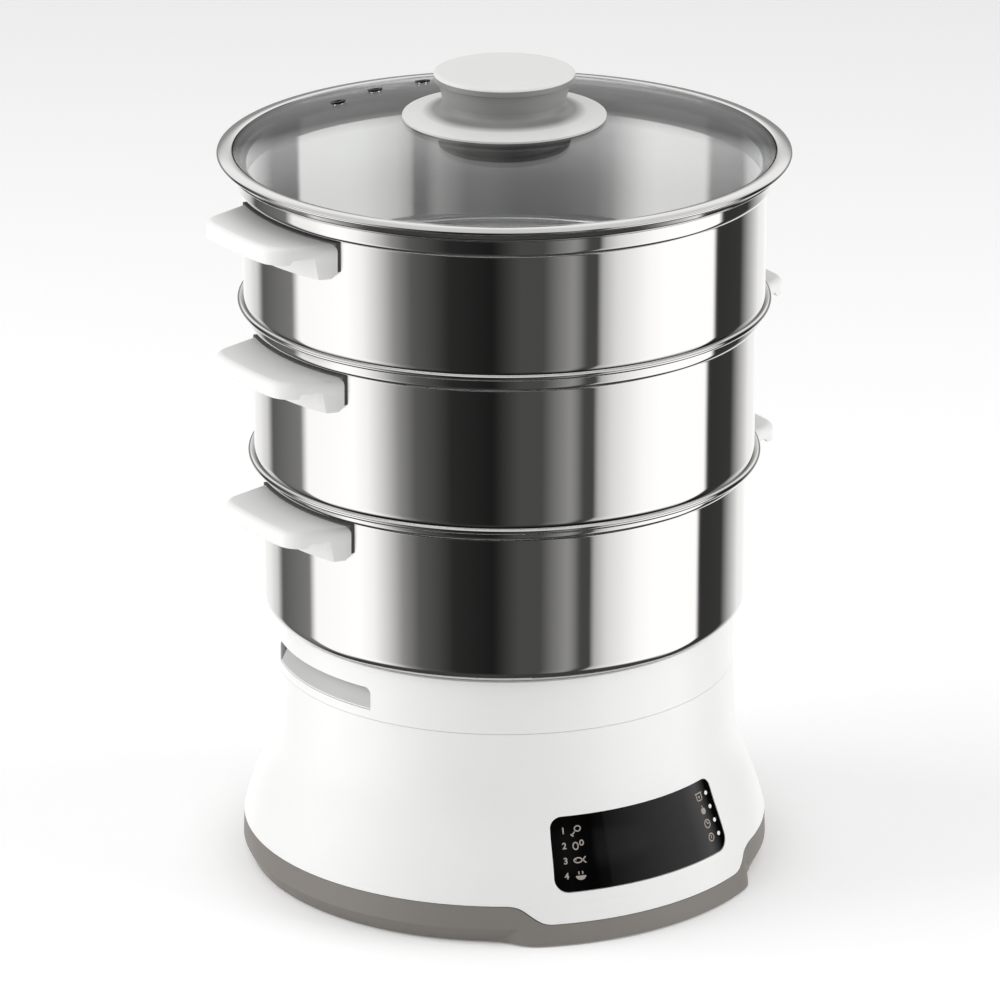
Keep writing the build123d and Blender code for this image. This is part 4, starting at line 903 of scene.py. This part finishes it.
def pick(kind: Pick, wanted: Callable[[Any], bool]) -> None:
    """Selects points, edges or faces of the mesh in edit mode.

    Args:
        kind: what to select.
        wanted: says whether an element is selected.
    """
    bpy.ops.mesh.select_mode(type=kind.value)
    bpy.ops.mesh.select_all(action="DESELECT")
    mesh = bpy.context.edit_object.data
    shape = bmesh.from_edit_mesh(mesh)
    elements = {Pick.POINTS: shape.verts, Pick.EDGES: shape.edges, Pick.FACES: shape.faces}[kind]
    for element in elements:
        if wanted(element):
            element.select_set(True)
    shape.select_flush_mode()
    bmesh.update_edit_mesh(mesh)


def pick_all() -> None:
    """Selects all of the mesh in edit mode."""
    bpy.ops.mesh.select_all(action="SELECT")


def spin_round(steps: int, angle: float, way: int = 1) -> None:
    """Spins what is selected round the tower's axis, and selects all that comes of it."""
    bpy.ops.mesh.spin(steps=steps, angle=angle, center=ORIGIN, axis=(0, 0, way))
    pick_all()


def bake_place() -> None:
    """Moves the active object's place into its mesh."""
    bpy.ops.object.transform_apply(location=True, rotation=True, scale=True)


def thicken(thing: bpy.types.Object, thickness: float, offset: float) -> None:
    """Gives an open sheet its thickness.

    Args:
        thing: the sheet.
        thickness: its thickness, millimetres.
        offset: which side it grows on: -1 inwards, 0 both.
    """
    choose(thing)
    change = thing.modifiers.new("sheet", "SOLIDIFY")
    change.thickness = thickness * MM
    change.offset = offset
    bpy.ops.object.modifier_apply(modifier=change.name)


def is_upright(edge: bmesh.types.BMEdge) -> bool:
    """Whether an edge stands straight up."""
    first, second = (point.co for point in edge.verts)
    return (first.xy - second.xy).length < 1e-6


def add_block(low: Point3, high: Point3) -> bpy.types.Object:
    """Adds a cube between two corners.

    Args:
        low: the lowest corner, millimetres.
        high: the highest corner.

    Returns:
        The object, with its place in its mesh.
    """
    bpy.ops.mesh.primitive_cube_add(
        size=1, location=[(a + b) / 2 * MM for a, b in zip(low, high)],
        scale=[(b - a) * MM for a, b in zip(low, high)])
    bake_place()
    return bpy.context.object


def add_round(low_r: float, high_r: float, low: float, high: float) -> bpy.types.Object:
    """Adds an upright cylinder or cone on the tower's axis.

    Args:
        low_r: radius at its lower end, millimetres.
        high_r: radius at its upper end.
        low: height of its lower end.
        high: height of its upper end.

    Returns:
        The object, with its place in its mesh.
    """
    bpy.ops.mesh.primitive_cone_add(
        vertices=360, radius1=low_r * MM, radius2=high_r * MM, depth=(high - low) * MM,
        location=(0, 0, (low + high) / 2 * MM))
    bake_place()
    return bpy.context.object


def combine(body: bpy.types.Object, tool: bpy.types.Object, operation: str) -> None:
    """Joins, cuts or trims a body with a tool, and throws the tool away.

    Args:
        body: the mesh that is kept.
        tool: the mesh that works on it.
        operation: UNION, DIFFERENCE or INTERSECT.
    """
    deselect_all()
    bpy.context.view_layer.objects.active = body
    change = body.modifiers.new("combine", "BOOLEAN")
    change.operation = operation
    change.solver = "EXACT"
    change.object = tool
    bpy.ops.object.modifier_apply(modifier=change.name)
    bpy.data.objects.remove(tool)


def soften(thing: bpy.types.Object, width: float, segments: int = 2) -> None:
    """Rounds the sharp edges that are left and shades the piece smooth.

    Args:
        thing: the mesh object.
        width: width of the rounding, millimetres.
        segments: steps in the rounding.
    """
    choose(thing)
    rounding = thing.modifiers.new("soften", "BEVEL")
    rounding.width = width * MM
    rounding.segments = segments
    rounding.limit_method = "ANGLE"
    rounding.angle_limit = math.radians(40)
    rounding.use_clamp_overlap = True
    rounding.harden_normals = False
    bpy.ops.object.modifier_apply(modifier=rounding.name)
    bpy.ops.object.shade_smooth_by_angle(angle=math.radians(35))


def turned_copy(thing: bpy.types.Object, name: str) -> bpy.types.Object:
    """Copies a piece with its own mesh, half a turn round the tower.

    Args:
        thing: the piece.
        name: name of the copy.

    Returns:
        The copy, with its turn in its mesh.
    """
    twin = thing.copy()
    twin.data = thing.data.copy()
    twin.name = name
    bpy.context.scene.collection.objects.link(twin)
    choose(twin)
    twin.rotation_euler = (0.0, 0.0, math.pi)
    bake_place()
    return twin


# ---------------------------------------------------------------- bowls
def arc(centre: Point2, radius: float, start: float, end: float, steps: int) -> list[Point2]:
    """Points along a round corner of a profile."""
    angles = [math.radians(start + (end - start) * step / steps) for step in range(steps + 1)]
    return [(centre[0] + radius * math.cos(angle), centre[1] + radius * math.sin(angle))
            for angle in angles]


def spin_profile(points: Sequence[Point2], steps: int = 288) -> bpy.types.Object:
    """Extrudes a profile point by point and spins it round the tower's axis.

    Args:
        points: radius and height of each point, millimetres.
        steps: steps in the full turn.

    Returns:
        The open sheet.
    """
    bpy.ops.mesh.primitive_plane_add(size=MM, location=(0, 0, 0))
    sheet = bpy.context.object
    with edit_mode(sheet):
        bpy.ops.mesh.merge(type="CENTER")
        bpy.ops.transform.translate(value=(points[0][0] * MM, 0, points[0][1] * MM))
        for (radius, height), (next_radius, next_height) in zip(points, points[1:]):
            bpy.ops.mesh.extrude_region_move(TRANSFORM_OT_translate={
                "value": ((next_radius - radius) * MM, 0, (next_height - height) * MM)})
        pick_all()
        spin_round(steps, 2 * math.pi)
        bpy.ops.mesh.remove_doubles(threshold=0.005 * MM)
        bpy.ops.mesh.normals_make_consistent(inside=False)
    return sheet


@dataclass
class BowlShell:
    """A deep-drawn steel bowl: rounded foot, straight wall, pressed band and rolled rim.

    Attributes:
        number: the bowl's number.
        wall_r: outer radius of the wall, millimetres.
        low: height of its underside.
        rim_top: height of its rim.
        step: height of the line where the band starts.
        bead_r: radius of the rolled edge.
        band_out: how far the band stands proud of the wall.
        corner: radius of the foot's corner.
        ledge: width of the ledge that carries the floor.
        step_round: radius of the two rounds of the step.
        throat: radius of the groove under the rim.
        straight: length of plain wall that is kept beside a round.
        rim_out: how far the rim reaches over the wall.
        sheet: thickness of the steel.
    """

    number: int
    wall_r: float
    low: float
    rim_top: float
    step: float
    bead_r: float
    band_out: float = 3.2
    corner: float = 6.0
    ledge: float = 8.0
    step_round: float = 1.55
    throat: float = 1.2
    straight: float = 0.4
    rim_out: float = 7.7
    sheet: float = 0.7

    def profile(self) -> list[Point2]:
        """The outside of the sheet, from the ledge's inner edge to the end of the roll."""
        wall, band = self.wall_r, self.wall_r + self.band_out
        turn, throat, straight = self.step_round, self.throat, self.straight
        bead = (wall + self.rim_out - self.bead_r, self.rim_top - self.bead_r)
        lip = self.rim_top - self.sheet
        return [
            (wall - self.corner - self.ledge, self.low),
            *arc((wall - self.corner, self.low + self.corner), self.corner, -90, 0, 12),
            (wall, self.low + self.corner + straight), (wall, self.step - turn - straight),
            *arc((wall + turn, self.step - turn), turn, 180, 90, 5),
            *arc((band - turn, self.step + turn), turn, -90, 0, 6),
            (band, self.step + turn + straight), (band, lip - throat - straight),
            *arc((band + throat, lip - throat), throat, 180, 90, 5),
            *arc(bead, self.bead_r, 90, -200, 20),
        ]

    def build(self) -> bpy.types.Object:
        """Builds and dresses the bowl.

        Returns:
            The bowl.
        """
        shell = spin_profile(self.profile())
        shell.name = f"drawn_bowl_{self.number}"
        with edit_mode(shell):
            pick(Pick.FACES, lambda face: abs(face.normal.z) < 0.01
                 and face.calc_area() > 20 * MM * MM)
            bpy.ops.mesh.subdivide(number_cuts=1)
        thicken(shell, self.sheet, -1.0)
        bpy.ops.object.shade_smooth_by_angle(angle=math.radians(40))
        BOWL_STEEL.dress(shell)
        leave_unmirrored(shell)
        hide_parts(f"bowl_{self.number}")
        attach(shell, f"bowl_{self.number}")
        LOG.info("built %s", shell.name)
        return shell


@dataclass
class LidRing:
    """The lid's pressed steel ring: a crowned band round the glass, and the skirt in the bowl.

    Attributes:
        outer_r: radius of its outer edge, millimetres.
        inner_r: radius at the glass.
        crest: height of its highest line.
        edge: height of the rolled outer edge.
        skirt_r: outer radius of the skirt.
        skirt_low: height of the skirt's lower edge.
        ledge: height of the ledge under the glass.
        seat: height at which it rests on the bowl's rim.
        rim_r: radius of the bowl's rolled rim.
        sheet: thickness of the skirt.
    """

    outer_r: float = 132.3
    inner_r: float = 125.05
    crest: float = 345.5
    edge: float = 2.2
    skirt_r: float = 118.8
    skirt_low: float = 329.4
    ledge: float = 340.6
    seat: float = 339.95
    rim_r: float = 126.3
    sheet: float = 0.7

    def build(self) -> bpy.types.Object:
        """Builds and dresses the ring.

        Returns:
            The ring.
        """
        turn = self.edge / 2
        rim = (self.outer_r - turn, self.crest - 0.5 - turn)
        ring = spin_profile([
            (self.inner_r, self.ledge), (self.inner_r, self.crest - 0.5),
            *arc((self.inner_r + 0.5, self.crest - 0.5), 0.5, 180, 90, 4),
            (self.inner_r + 2.6, self.crest), (self.inner_r + 4.6, self.crest - 0.15),
            *arc(rim, turn, 76, -90, 12),
            (self.rim_r + 2.0, rim[1] - turn - 1.1), (self.rim_r + 1.4, self.seat),
            (self.rim_r - 1.4, self.seat), (self.rim_r - 3.9, self.seat - 0.2),
            (self.skirt_r + 2.2, self.ledge - 2.3), (self.skirt_r + 0.8, self.ledge - 2.6),
            (self.skirt_r, self.ledge - 4.0), (self.skirt_r, self.skirt_low),
            (self.skirt_r - self.sheet, self.skirt_low),
            (self.skirt_r - self.sheet, self.ledge - 3.4),
            (self.skirt_r + 0.5, self.ledge - 1.9), (self.skirt_r + 2.1, self.ledge - 1.6),
            (self.rim_r - 4.1, self.ledge), (self.inner_r, self.ledge),
        ])
        ring.name = "pressed_lid_ring"
        choose(ring)
        bpy.ops.object.shade_smooth_by_angle(angle=math.radians(30))
        RING_STEEL.dress(ring)
        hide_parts("lid_ring")
        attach(ring, "lid")
        LOG.info("built %s", ring.name)
        return ring


@dataclass
class FillScoop:
    """The sloping lip inside each filling slot, which leads water over to the tank.

    Attributes:
        outer: radius and height of its lower edge, at the slot's sill, millimetres.
        inner: radius and height of its upper edge.
        half: half of the slot's width.
        turn: half of the arc that is spun, degrees.
        sheet: its thickness.
    """

    outer: Point2 = (107.4, 102.3)
    inner: Point2 = (103.4, 110.6)
    half: float = 38.1
    turn: float = 23.0
    sheet: float = 0.8

    def build(self) -> bpy.types.Object:
        """Builds and dresses both scoops.

        Returns:
            The scoops, as one piece.
        """
        bpy.ops.mesh.primitive_plane_add(size=MM, location=ORIGIN)
        right = bpy.context.object
        turn = math.radians(self.turn)
        with edit_mode(right):
            bpy.ops.mesh.merge(type="CENTER")
            bpy.ops.transform.translate(value=(self.outer[0] * MM, 0, self.outer[1] * MM))
            bpy.ops.mesh.extrude_region_move(TRANSFORM_OT_translate={"value": (
                (self.inner[0] - self.outer[0]) * MM, 0, (self.inner[1] - self.outer[1]) * MM)})
            pick_all()
            bpy.ops.transform.rotate(value=turn, orient_axis="Z", center_override=ORIGIN)
            spin_round(36, 2 * turn, -1)
            bpy.ops.mesh.remove_doubles(threshold=0.005 * MM)
            for side in (1, -1):
                pick_all()
                bpy.ops.mesh.bisect(plane_co=(0, side * self.half * MM, 0),
                                    plane_no=(0, side, 0), clear_outer=True)
            pick_all()
            bpy.ops.mesh.normals_make_consistent(inside=False)
        thicken(right, self.sheet, 0.0)
        left = turned_copy(right, "other_scoop")
        choose(left, right)
        bpy.ops.object.join()
        right.name = "fill_scoops"
        bpy.ops.object.shade_smooth_by_angle(angle=math.radians(30))
        # The scoops lie inside the collector's zone of painted shade, so they take its grey.
        COLLECTOR_ABS.dress(right)
        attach(right, "collector")
        LOG.info("built %s", right.name)
        return right


# ---------------------------------------------------------------- handles
@dataclass
class HandlePair:
    """A bowl's two moulded handles: a soft hollow wing on a foot, with a dark strip of painted
    shade at the wall.

    Attributes:
        number: the bowl's number.
        wall_r: outer radius of the bowl's wall, millimetres.
        ledge: height of the step that the handle hangs under.
        drop: how far the wing's top is under the ledge.
        reach: from the wall to the wing's outer edge.
        bulge: how far the outer edge bows out.
        root_angle: half of the arc that the root covers on the wall, degrees.
        tip_half: half width at the outer edge.
        corner: radius of the outer corners.
        skirt: height of the wing's side.
        top_edge: rounding of its top edge.
        gap: from the bowl's wall to the root.
        wall: thickness of the plastic.
        foot_depth: from the root to the foot's outer side.
        foot_slant: how far that side leans in.
        foot_height: from the top to the foot's sole.
        foot_chamfer: chamfer of the sole at the wall.
        notch: how far a finger notch reaches out from the foot.
        notch_depth: how deep it is cut.
        notch_lean: how far its outer side leans in.
        bracket_half: half width of the pocket for the bracket.
        tip_cuts: where the outer edge is divided, as shares of its half width.
    """

    number: int
    wall_r: float
    ledge: float
    drop: float = 1.6
    reach: float = 27.7
    bulge: float = 1.8
    root_angle: float = 18.6
    tip_half: float = 30.0
    corner: float = 8.0
    skirt: float = 7.6
    top_edge: float = 3.2
    gap: float = 3.9
    wall: float = 2.6
    foot_depth: float = 9.5
    foot_slant: float = 2.4
    foot_height: float = 15.6
    foot_chamfer: float = 2.4
    notch: float = 10.0
    notch_depth: float = 2.0
    notch_lean: float = 3.4
    bracket_half: float = 22.0
    tip_cuts: tuple[float, ...] = (-0.6, -0.4, -0.2, 0.0, 0.2, 0.4, 0.6)

    @property
    def top(self) -> float:
        """Height of the wing's top."""
        return self.ledge - self.drop

    @property
    def root_r(self) -> float:
        """Radius of the root's concave face."""
        return self.wall_r + self.gap

    def half_width(self, x: float) -> float:
        """Half of the handle's width at a distance from the tower's axis.

        Args:
            x: the distance, millimetres.

        Returns:
            Half of the width.
        """
        angle = math.radians(self.root_angle)
        root_x, root_y = self.root_r * math.cos(angle), self.root_r * math.sin(angle)
        tip_x = self.wall_r + self.reach - self.bulge
        return self.tip_half + (root_y - self.tip_half) * (tip_x - x) / (tip_x - root_x)

    def slab(self, far: float, low: float, high: float, inset: float) -> bpy.types.Object:
        """A tapering slab from inside the wall outwards.

        Args:
            far: distance of its outer face from the tower's axis, millimetres.
            low: height of its lower face.
            high: height of its upper face.
            inset: how far its sides are moved in.

        Returns:
            The object.
        """
        near = self.root_r - 16
        far_half, near_half = self.half_width(far) - inset, self.half_width(near) - inset
        slab = add_block((near, -far_half, low), (far, far_half, high))
        with edit_mode(slab):
            pick(Pick.POINTS, lambda point: point.co.x < (near + 1) * MM)
            bpy.ops.transform.resize(value=(1, near_half / far_half, 1),
                                     center_override=(near * MM, 0, high * MM))
        return slab

    def wing(self, inset: float, low: float, high: float, top_edge: float) -> bpy.types.Object:
        """The wing's outline as a solid: bowed tip, round corners and a soft top edge.

        Args:
            inset: how far its sides are moved in, millimetres.
            low: height of its lower face.
            high: height of its upper face.
            top_edge: rounding of its top edge.

        Returns:
            The object.
        """
        far = self.wall_r + self.reach - self.bulge - inset
        wing = self.slab(far, low, high, inset)
        half = self.half_width(far) - inset
        with edit_mode(wing):
            for share in self.tip_cuts:
                pick_all()
                bpy.ops.mesh.bisect(plane_co=(0, share * half * MM, 0), plane_no=(0, 1, 0))
            for share in self.tip_cuts:
                pick(Pick.POINTS, lambda point: point.co.x > (far - 1) * MM
                     and abs(point.co.y - share * half * MM) < 0.5 * MM)
                bpy.ops.transform.translate(value=(self.bulge * (1 - share ** 2) * MM, 0, 0))
            pick(Pick.EDGES, lambda edge: is_upright(edge)
                 and all(point.co.x > (far - 1) * MM and abs(point.co.y) > 0.9 * half * MM
                         for point in edge.verts))
            bpy.ops.mesh.bevel(offset=(self.corner - inset) * MM, segments=7, affect="EDGES")
            pick(Pick.EDGES, lambda edge: len(edge.link_faces) == 2
                 and any(face.normal.z > 0.9 for face in edge.link_faces)
                 and any(abs(face.normal.z) < 0.1 and face.normal.x > -0.6
                         for face in edge.link_faces))
            bpy.ops.mesh.bevel(offset=top_edge * MM, segments=5, affect="EDGES")
        return wing

    def foot(self) -> bpy.types.Object:
        """The foot that caps the bracket: a slanted outer side down to the foot's sole."""
        low = self.top - self.foot_height
        foot = self.slab(self.root_r + self.foot_depth + 3, low, self.top - self.top_edge, 0.05)
        outer = self.root_r + self.foot_depth
        combine(foot, add_round(outer - self.foot_slant, outer, low, self.top), "INTERSECT")
        return foot

    def cut_notches(self, body: bpy.types.Object) -> None:
        """Cuts the finger notches beside the foot, with slanted sides.

        Args:
            body: the handle.
        """
        low = self.top - self.skirt
        near = math.sqrt((self.root_r + self.foot_depth) ** 2 - self.tip_half ** 2)
        notch = add_block((near - 4, -60, low - 2), (near + self.notch, 60, low + self.notch_depth))
        with edit_mode(notch):
            pick(Pick.POINTS, lambda point: point.co.z > low * MM and point.co.x > near * MM)
            bpy.ops.transform.translate(value=(-self.notch_lean * MM, 0, 0))
        combine(body, notch, "DIFFERENCE")

    def shape(self) -> bpy.types.Object:
        """Builds the right-hand handle.

        Returns:
            The handle.
        """
        low = self.top - self.foot_height
        body = self.wing(0.0, self.top - self.skirt, self.top, self.top_edge)
        hollow = self.wing(self.wall, low - 1, self.top - self.wall, 1.0)
        outer = self.root_r + self.foot_depth
        core = add_round(outer - 2 * self.foot_slant - 0.02, outer - 0.02,
                         low - self.foot_height, self.top)
        combine(hollow, core, "DIFFERENCE")
        combine(body, hollow, "DIFFERENCE")
        self.cut_notches(body)
        combine(body, self.foot(), "UNION")
        inner = outer - self.foot_slant - self.wall
        pocket = add_block((self.root_r - 20, -self.bracket_half, low - 1),
                           (inner + 8, self.bracket_half, self.top - self.wall))
        combine(pocket, add_round(inner, inner, low - 2, self.top), "INTERSECT")
        combine(body, pocket, "DIFFERENCE")
        combine(body, add_round(self.root_r, self.root_r, low - 5, self.top + 5), "DIFFERENCE")
        combine(body, add_round(self.root_r + self.foot_chamfer + 1, self.root_r - 0.1, low - 1,
                                low + self.foot_chamfer), "DIFFERENCE")
        soften(body, 0.4)
        return body

    def seal(self) -> bpy.types.Object:
        """A dark strip between the root and the wall, dressed as black rubber: painted shade for
        the shadow in the gap.

        Returns:
            The right-hand strip.
        """
        low, high = self.top - self.foot_height + self.foot_chamfer, self.top + 0.6
        turn = math.radians(self.root_angle - 0.35)
        bpy.ops.mesh.primitive_plane_add(size=1, location=ORIGIN)
        strip = bpy.context.object
        with edit_mode(strip):
            bpy.ops.transform.resize(value=((self.gap + 0.1) * MM, (high - low) * MM, 1))
            bpy.ops.transform.rotate(value=math.pi / 2, orient_axis="X",
                                     center_override=ORIGIN)
            bpy.ops.transform.translate(value=(
                (self.wall_r + 0.05 + (self.gap + 0.1) / 2) * MM, 0, (low + high) / 2 * MM))
            bpy.ops.transform.rotate(value=turn, orient_axis="Z", center_override=ORIGIN)
            spin_round(24, 2 * turn, -1)
            bpy.ops.mesh.remove_doubles(threshold=0.01 * MM)
            bpy.ops.mesh.normals_make_consistent(inside=False)
        return strip

    def build(self) -> list[bpy.types.Object]:
        """Builds and dresses both handles and the dark strips of painted shade at their roots.

        Returns:
            The pieces.
        """
        right = self.shape()
        right.name = f"moulded_handle_right_{self.number}"
        left = turned_copy(right, f"moulded_handle_left_{self.number}")
        seal = self.seal()
        seal.name = f"handle_seal_{self.number}"
        other = turned_copy(seal, "other_shade_strip")
        choose(other, seal)
        bpy.ops.object.join()
        HANDLE_ABS.dress(right, left)
        # Painted shade: the strip wears black rubber to stand for the shadow in the gap at the
        # root.
        BLACK_RUBBER.dress(seal)
        for piece, side in ((right, Side.RIGHT), (left, Side.LEFT)):
            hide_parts(f"handle_{side.word}_{self.number}")
        for piece in (right, left, seal):
            leave_unmirrored(piece)
            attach(piece, f"bowl_{self.number}")
            LOG.info("built %s", piece.name)
        return [right, left, seal]


# ---------------------------------------------------------------- printed marks
@dataclass
class PanelPrint:
    """The touch panel's print: numbers, small pictograms and lamp dots in two columns.

    Attributes:
        panel: the panel's node, which the print lies on.
        number_angle: the numbers' angle from the panel's middle, degrees.
        food_angle: the food pictograms' angle.
        control_angle: the control pictograms' angle.
        dot_angle: the lamp dots' angle.
        left_rows: heights of the left column's rows, millimetres.
        right_rows: heights of the right column's rows.
        line: width of a printed line.
        thickness: thickness of the print.
        sunk: how far its underside is in the panel.
        number_size: size of the numbers.
        number_weight: how much their strokes are thickened.
    """

    panel: bpy.types.Object
    number_angle: float = -20.8
    food_angle: float = -17.6
    control_angle: float = 18.8
    dot_angle: float = 21.7
    left_rows: tuple[float, ...] = (50.7, 44.2, 37.8, 31.3)
    right_rows: tuple[float, ...] = (50.5, 44.3, 38.1, 31.9)
    line: float = 0.55
    thickness: float = 0.12
    sunk: float = 0.04
    number_size: float = 4.1
    number_weight: float = 0.12

    def ring(self, x: float, y: float, wide: float, tall: float) -> bpy.types.Object:
        """A ring or oval outline.

        Args:
            x: its middle, to the right, millimetres.
            y: its middle, upwards.
            wide: its width.
            tall: its height.

        Returns:
            The flat shape.
        """
        spot = self.spot(x, y, wide, tall)
        with edit_mode(spot):
            bpy.ops.mesh.inset(thickness=self.line * MM, depth=0)
            bpy.ops.mesh.delete(type="FACE")
        return spot

    def spot(self, x: float, y: float, wide: float, tall: float) -> bpy.types.Object:
        """A filled disc or oval.

        Args:
            x: its middle, to the right, millimetres.
            y: its middle, upwards.
            wide: its width.
            tall: its height.

        Returns:
            The flat shape.
        """
        bpy.ops.mesh.primitive_circle_add(vertices=40, radius=0.5 * MM, fill_type="NGON",
                                          location=ORIGIN)
        spot = bpy.context.object
        with edit_mode(spot):
            bpy.ops.transform.resize(value=(wide, tall, 1), center_override=ORIGIN)
            bpy.ops.transform.translate(value=(x * MM, y * MM, 0))
        return spot

    def half_spot(self, x: float, y: float, wide: float, tall: float) -> bpy.types.Object:
        """The lower half of a filled oval, as a bowl.

        Args:
            x: middle of its rim, to the right, millimetres.
            y: height of its rim.
            wide: the oval's width.
            tall: the oval's height.

        Returns:
            The flat shape.
        """
        half = self.spot(x, y, wide, tall)
        with edit_mode(half):
            bpy.ops.mesh.bisect(plane_co=(0, y * MM, 0), plane_no=(0, 1, 0), clear_outer=True)
        return half

    def bar(self, start: Point2, end: Point2) -> bpy.types.Object:
        """A straight stroke with round ends.

        Args:
            start: its first end, millimetres.
            end: its other end.

        Returns:
            The flat shape.
        """
        way = Vector(end) - Vector(start)
        middle = (Vector(end) + Vector(start)) / 2
        bpy.ops.mesh.primitive_plane_add(size=MM, location=ORIGIN)
        stroke = bpy.context.object
        with edit_mode(stroke):
            bpy.ops.transform.resize(value=(way.length + self.line, self.line, 1),
                                     center_override=ORIGIN)
            bpy.ops.mesh.bevel(offset=self.line * 0.45 * MM, segments=4, affect="VERTICES")
        stroke.data.transform(
            Matrix.Translation((middle.x * MM, middle.y * MM, 0))
            @ Matrix.Rotation(math.atan2(way.y, way.x), 4, "Z"))
        return stroke

    def numeral(self, text: str) -> bpy.types.Object:
        """A plain number, centred.

        Args:
            text: the number.

        Returns:
            The flat shape.
        """
        bpy.ops.object.text_add(location=ORIGIN)
        words = bpy.context.object
        words.data.body = text
        words.data.size = self.number_size * MM
        words.data.offset = self.number_weight * MM
        words.data.align_x = "CENTER"
        words.data.align_y = "CENTER"
        choose(words)
        bpy.ops.object.convert(target="MESH")
        return bpy.context.object

    def place(self, strokes: Sequence[bpy.types.Object], angle: float,
              height: float) -> bpy.types.Object:
        """Joins strokes and lays them on the panel.

        Args:
            strokes: the flat shapes of one mark.
            angle: its angle from the panel's middle, degrees.
            height: its height, millimetres.

        Returns:
            The mark, with its place in its mesh.
        """
        choose(*strokes)
        if len(strokes) > 1:
            bpy.ops.object.join()
        mark = bpy.context.object
        heading = math.radians(angle)
        outward = Vector((math.sin(heading), -math.cos(heading), 0))
        start = outward * 0.3 + Vector((0, 0, height * MM))
        hit, spot, normal, _ = self.panel.ray_cast(start, -outward)
        if not hit:
            raise ValueError(f"the panel has no surface at {angle} degrees, {height} mm")
        right = Vector((math.cos(heading), math.sin(heading), 0))
        up = normal.cross(right).normalized()
        axes = Matrix((right, up, normal)).transposed().to_4x4()
        with edit_mode(mark):
            bpy.ops.mesh.extrude_region_move(TRANSFORM_OT_translate={
                "value": (0, 0, self.thickness * MM)})
            pick_all()
            bpy.ops.mesh.normals_make_consistent(inside=False)
        mark.data.transform(Matrix.Translation(spot + normal * -self.sunk * MM) @ axes)
        return mark

    def food_marks(self) -> list[list[bpy.types.Object]]:
        """The left column's pictograms: a drumstick, two eggs, a fish and a bowl."""
        return [
            [self.ring(0.6, 0.6, 3.4, 3.0), self.bar((-0.9, -0.8), (-2.0, -1.9)),
             self.spot(-2.5, -2.0, 0.9, 0.9), self.spot(-2.0, -2.5, 0.9, 0.9)],
            [self.ring(-1.1, -0.3, 3.0, 3.8), self.ring(1.9, 0.9, 2.2, 2.8)],
            [self.ring(-0.7, 0.0, 4.4, 2.8), self.bar((1.9, 0.3), (2.9, 1.3)),
             self.bar((1.9, -0.3), (2.9, -1.3)), self.spot(-1.7, 0.3, 0.6, 0.6)],
            [self.half_spot(0.0, -0.2, 5.0, 4.0), self.bar((-0.9, 0.6), (-0.9, 1.6)),
             self.bar((0.9, 0.6), (0.9, 1.6))],
        ]

    def control_marks(self) -> list[list[bpy.types.Object]]:
        """The right column's pictograms: a pot, a drop, a clock and a switch."""
        return [
            [self.bar((-2.2, 1.5), (2.2, 1.5)), self.bar((-1.8, 0.8), (-1.8, -1.4)),
             self.bar((1.8, 0.8), (1.8, -1.4)), self.bar((-1.2, -1.9), (1.2, -1.9)),
             self.spot(0.0, -0.3, 1.2, 1.2)],
            [self.spot(0.0, -0.5, 3.2, 3.2), self.bar((0.0, 1.5), (0.0, 2.0))],
            [self.ring(0.0, 0.0, 4.4, 4.4), self.bar((0.0, 0.2), (0.0, 1.1)),
             self.bar((0.5, 0.0), (1.0, 0.0))],
            [self.ring(0.0, 0.0, 4.2, 4.2), self.bar((0.0, -0.4), (0.0, 0.9))],
        ]

    def build(self) -> list[bpy.types.Object]:
        """Builds, lays and dresses the print.

        Returns:
            The pieces.
        """
        numbers = [self.place([self.numeral(str(row + 1))], self.number_angle, height)
                   for row, height in enumerate(self.left_rows)]
        foods = [self.place(strokes, self.food_angle, height)
                 for strokes, height in zip(self.food_marks(), self.left_rows)]
        controls = [self.place(strokes, self.control_angle, height)
                    for strokes, height in zip(self.control_marks(), self.right_rows)]
        dots = [self.place([self.spot(0.0, 0.0, 2.2, 2.0)], self.dot_angle, height)
                for height in self.right_rows]
        pieces = []
        for name, marks, finish in (
            ("panel_numbers", numbers, SCREEN_INK), ("panel_food_marks", foods, SCREEN_INK),
            ("panel_control_marks", controls, SCREEN_INK), ("panel_dots", dots, LAMP_LENS),
        ):
            choose(*marks)
            bpy.ops.object.join()
            piece = bpy.context.object
            piece.name = name
            finish.dress(piece)
            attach(piece, "base")
            LOG.info("printed %s", name)
            pieces.append(piece)
        return pieces


# ---------------------------------------------------------------- the whole object
@dataclass
class Steamer:
    """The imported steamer, whose nodes get their finishes here.

    Attributes:
        nodes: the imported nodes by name.
    """

    nodes: dict[str, bpy.types.Object]

    def dress_nodes(self) -> None:
        """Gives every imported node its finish."""
        finishes = dict(NODE_FINISHES)
        for number in BOWL_NUMBERS:
            for stem, finish in BOWL_PART_FINISHES.items():
                finishes[f"{stem}_{number}"] = finish
        for name, thing in self.nodes.items():
            finishes[name].dress(thing)
            if name.startswith(UNMIRRORED):
                leave_unmirrored(thing)
            LOG.info("dressed %s in %s", name, finishes[name].name)


def main() -> None:
    """Loads the frame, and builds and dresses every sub-assembly."""
    logging.basicConfig(level=logging.INFO, format="%(name)s: %(message)s")
    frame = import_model()
    deselect_all()
    Studio().build()
    Steamer(frame["nodes"]).dress_nodes()
    for place in BOWL_PLACES:
        BowlShell(*place).build()
    for place in HANDLE_PLACES:
        HandlePair(*place).build()
    LidRing().build()
    FillScoop().build()
    PanelPrint(frame["nodes"]["control_panel"]).build()


if __name__ == "__main__":
    main()
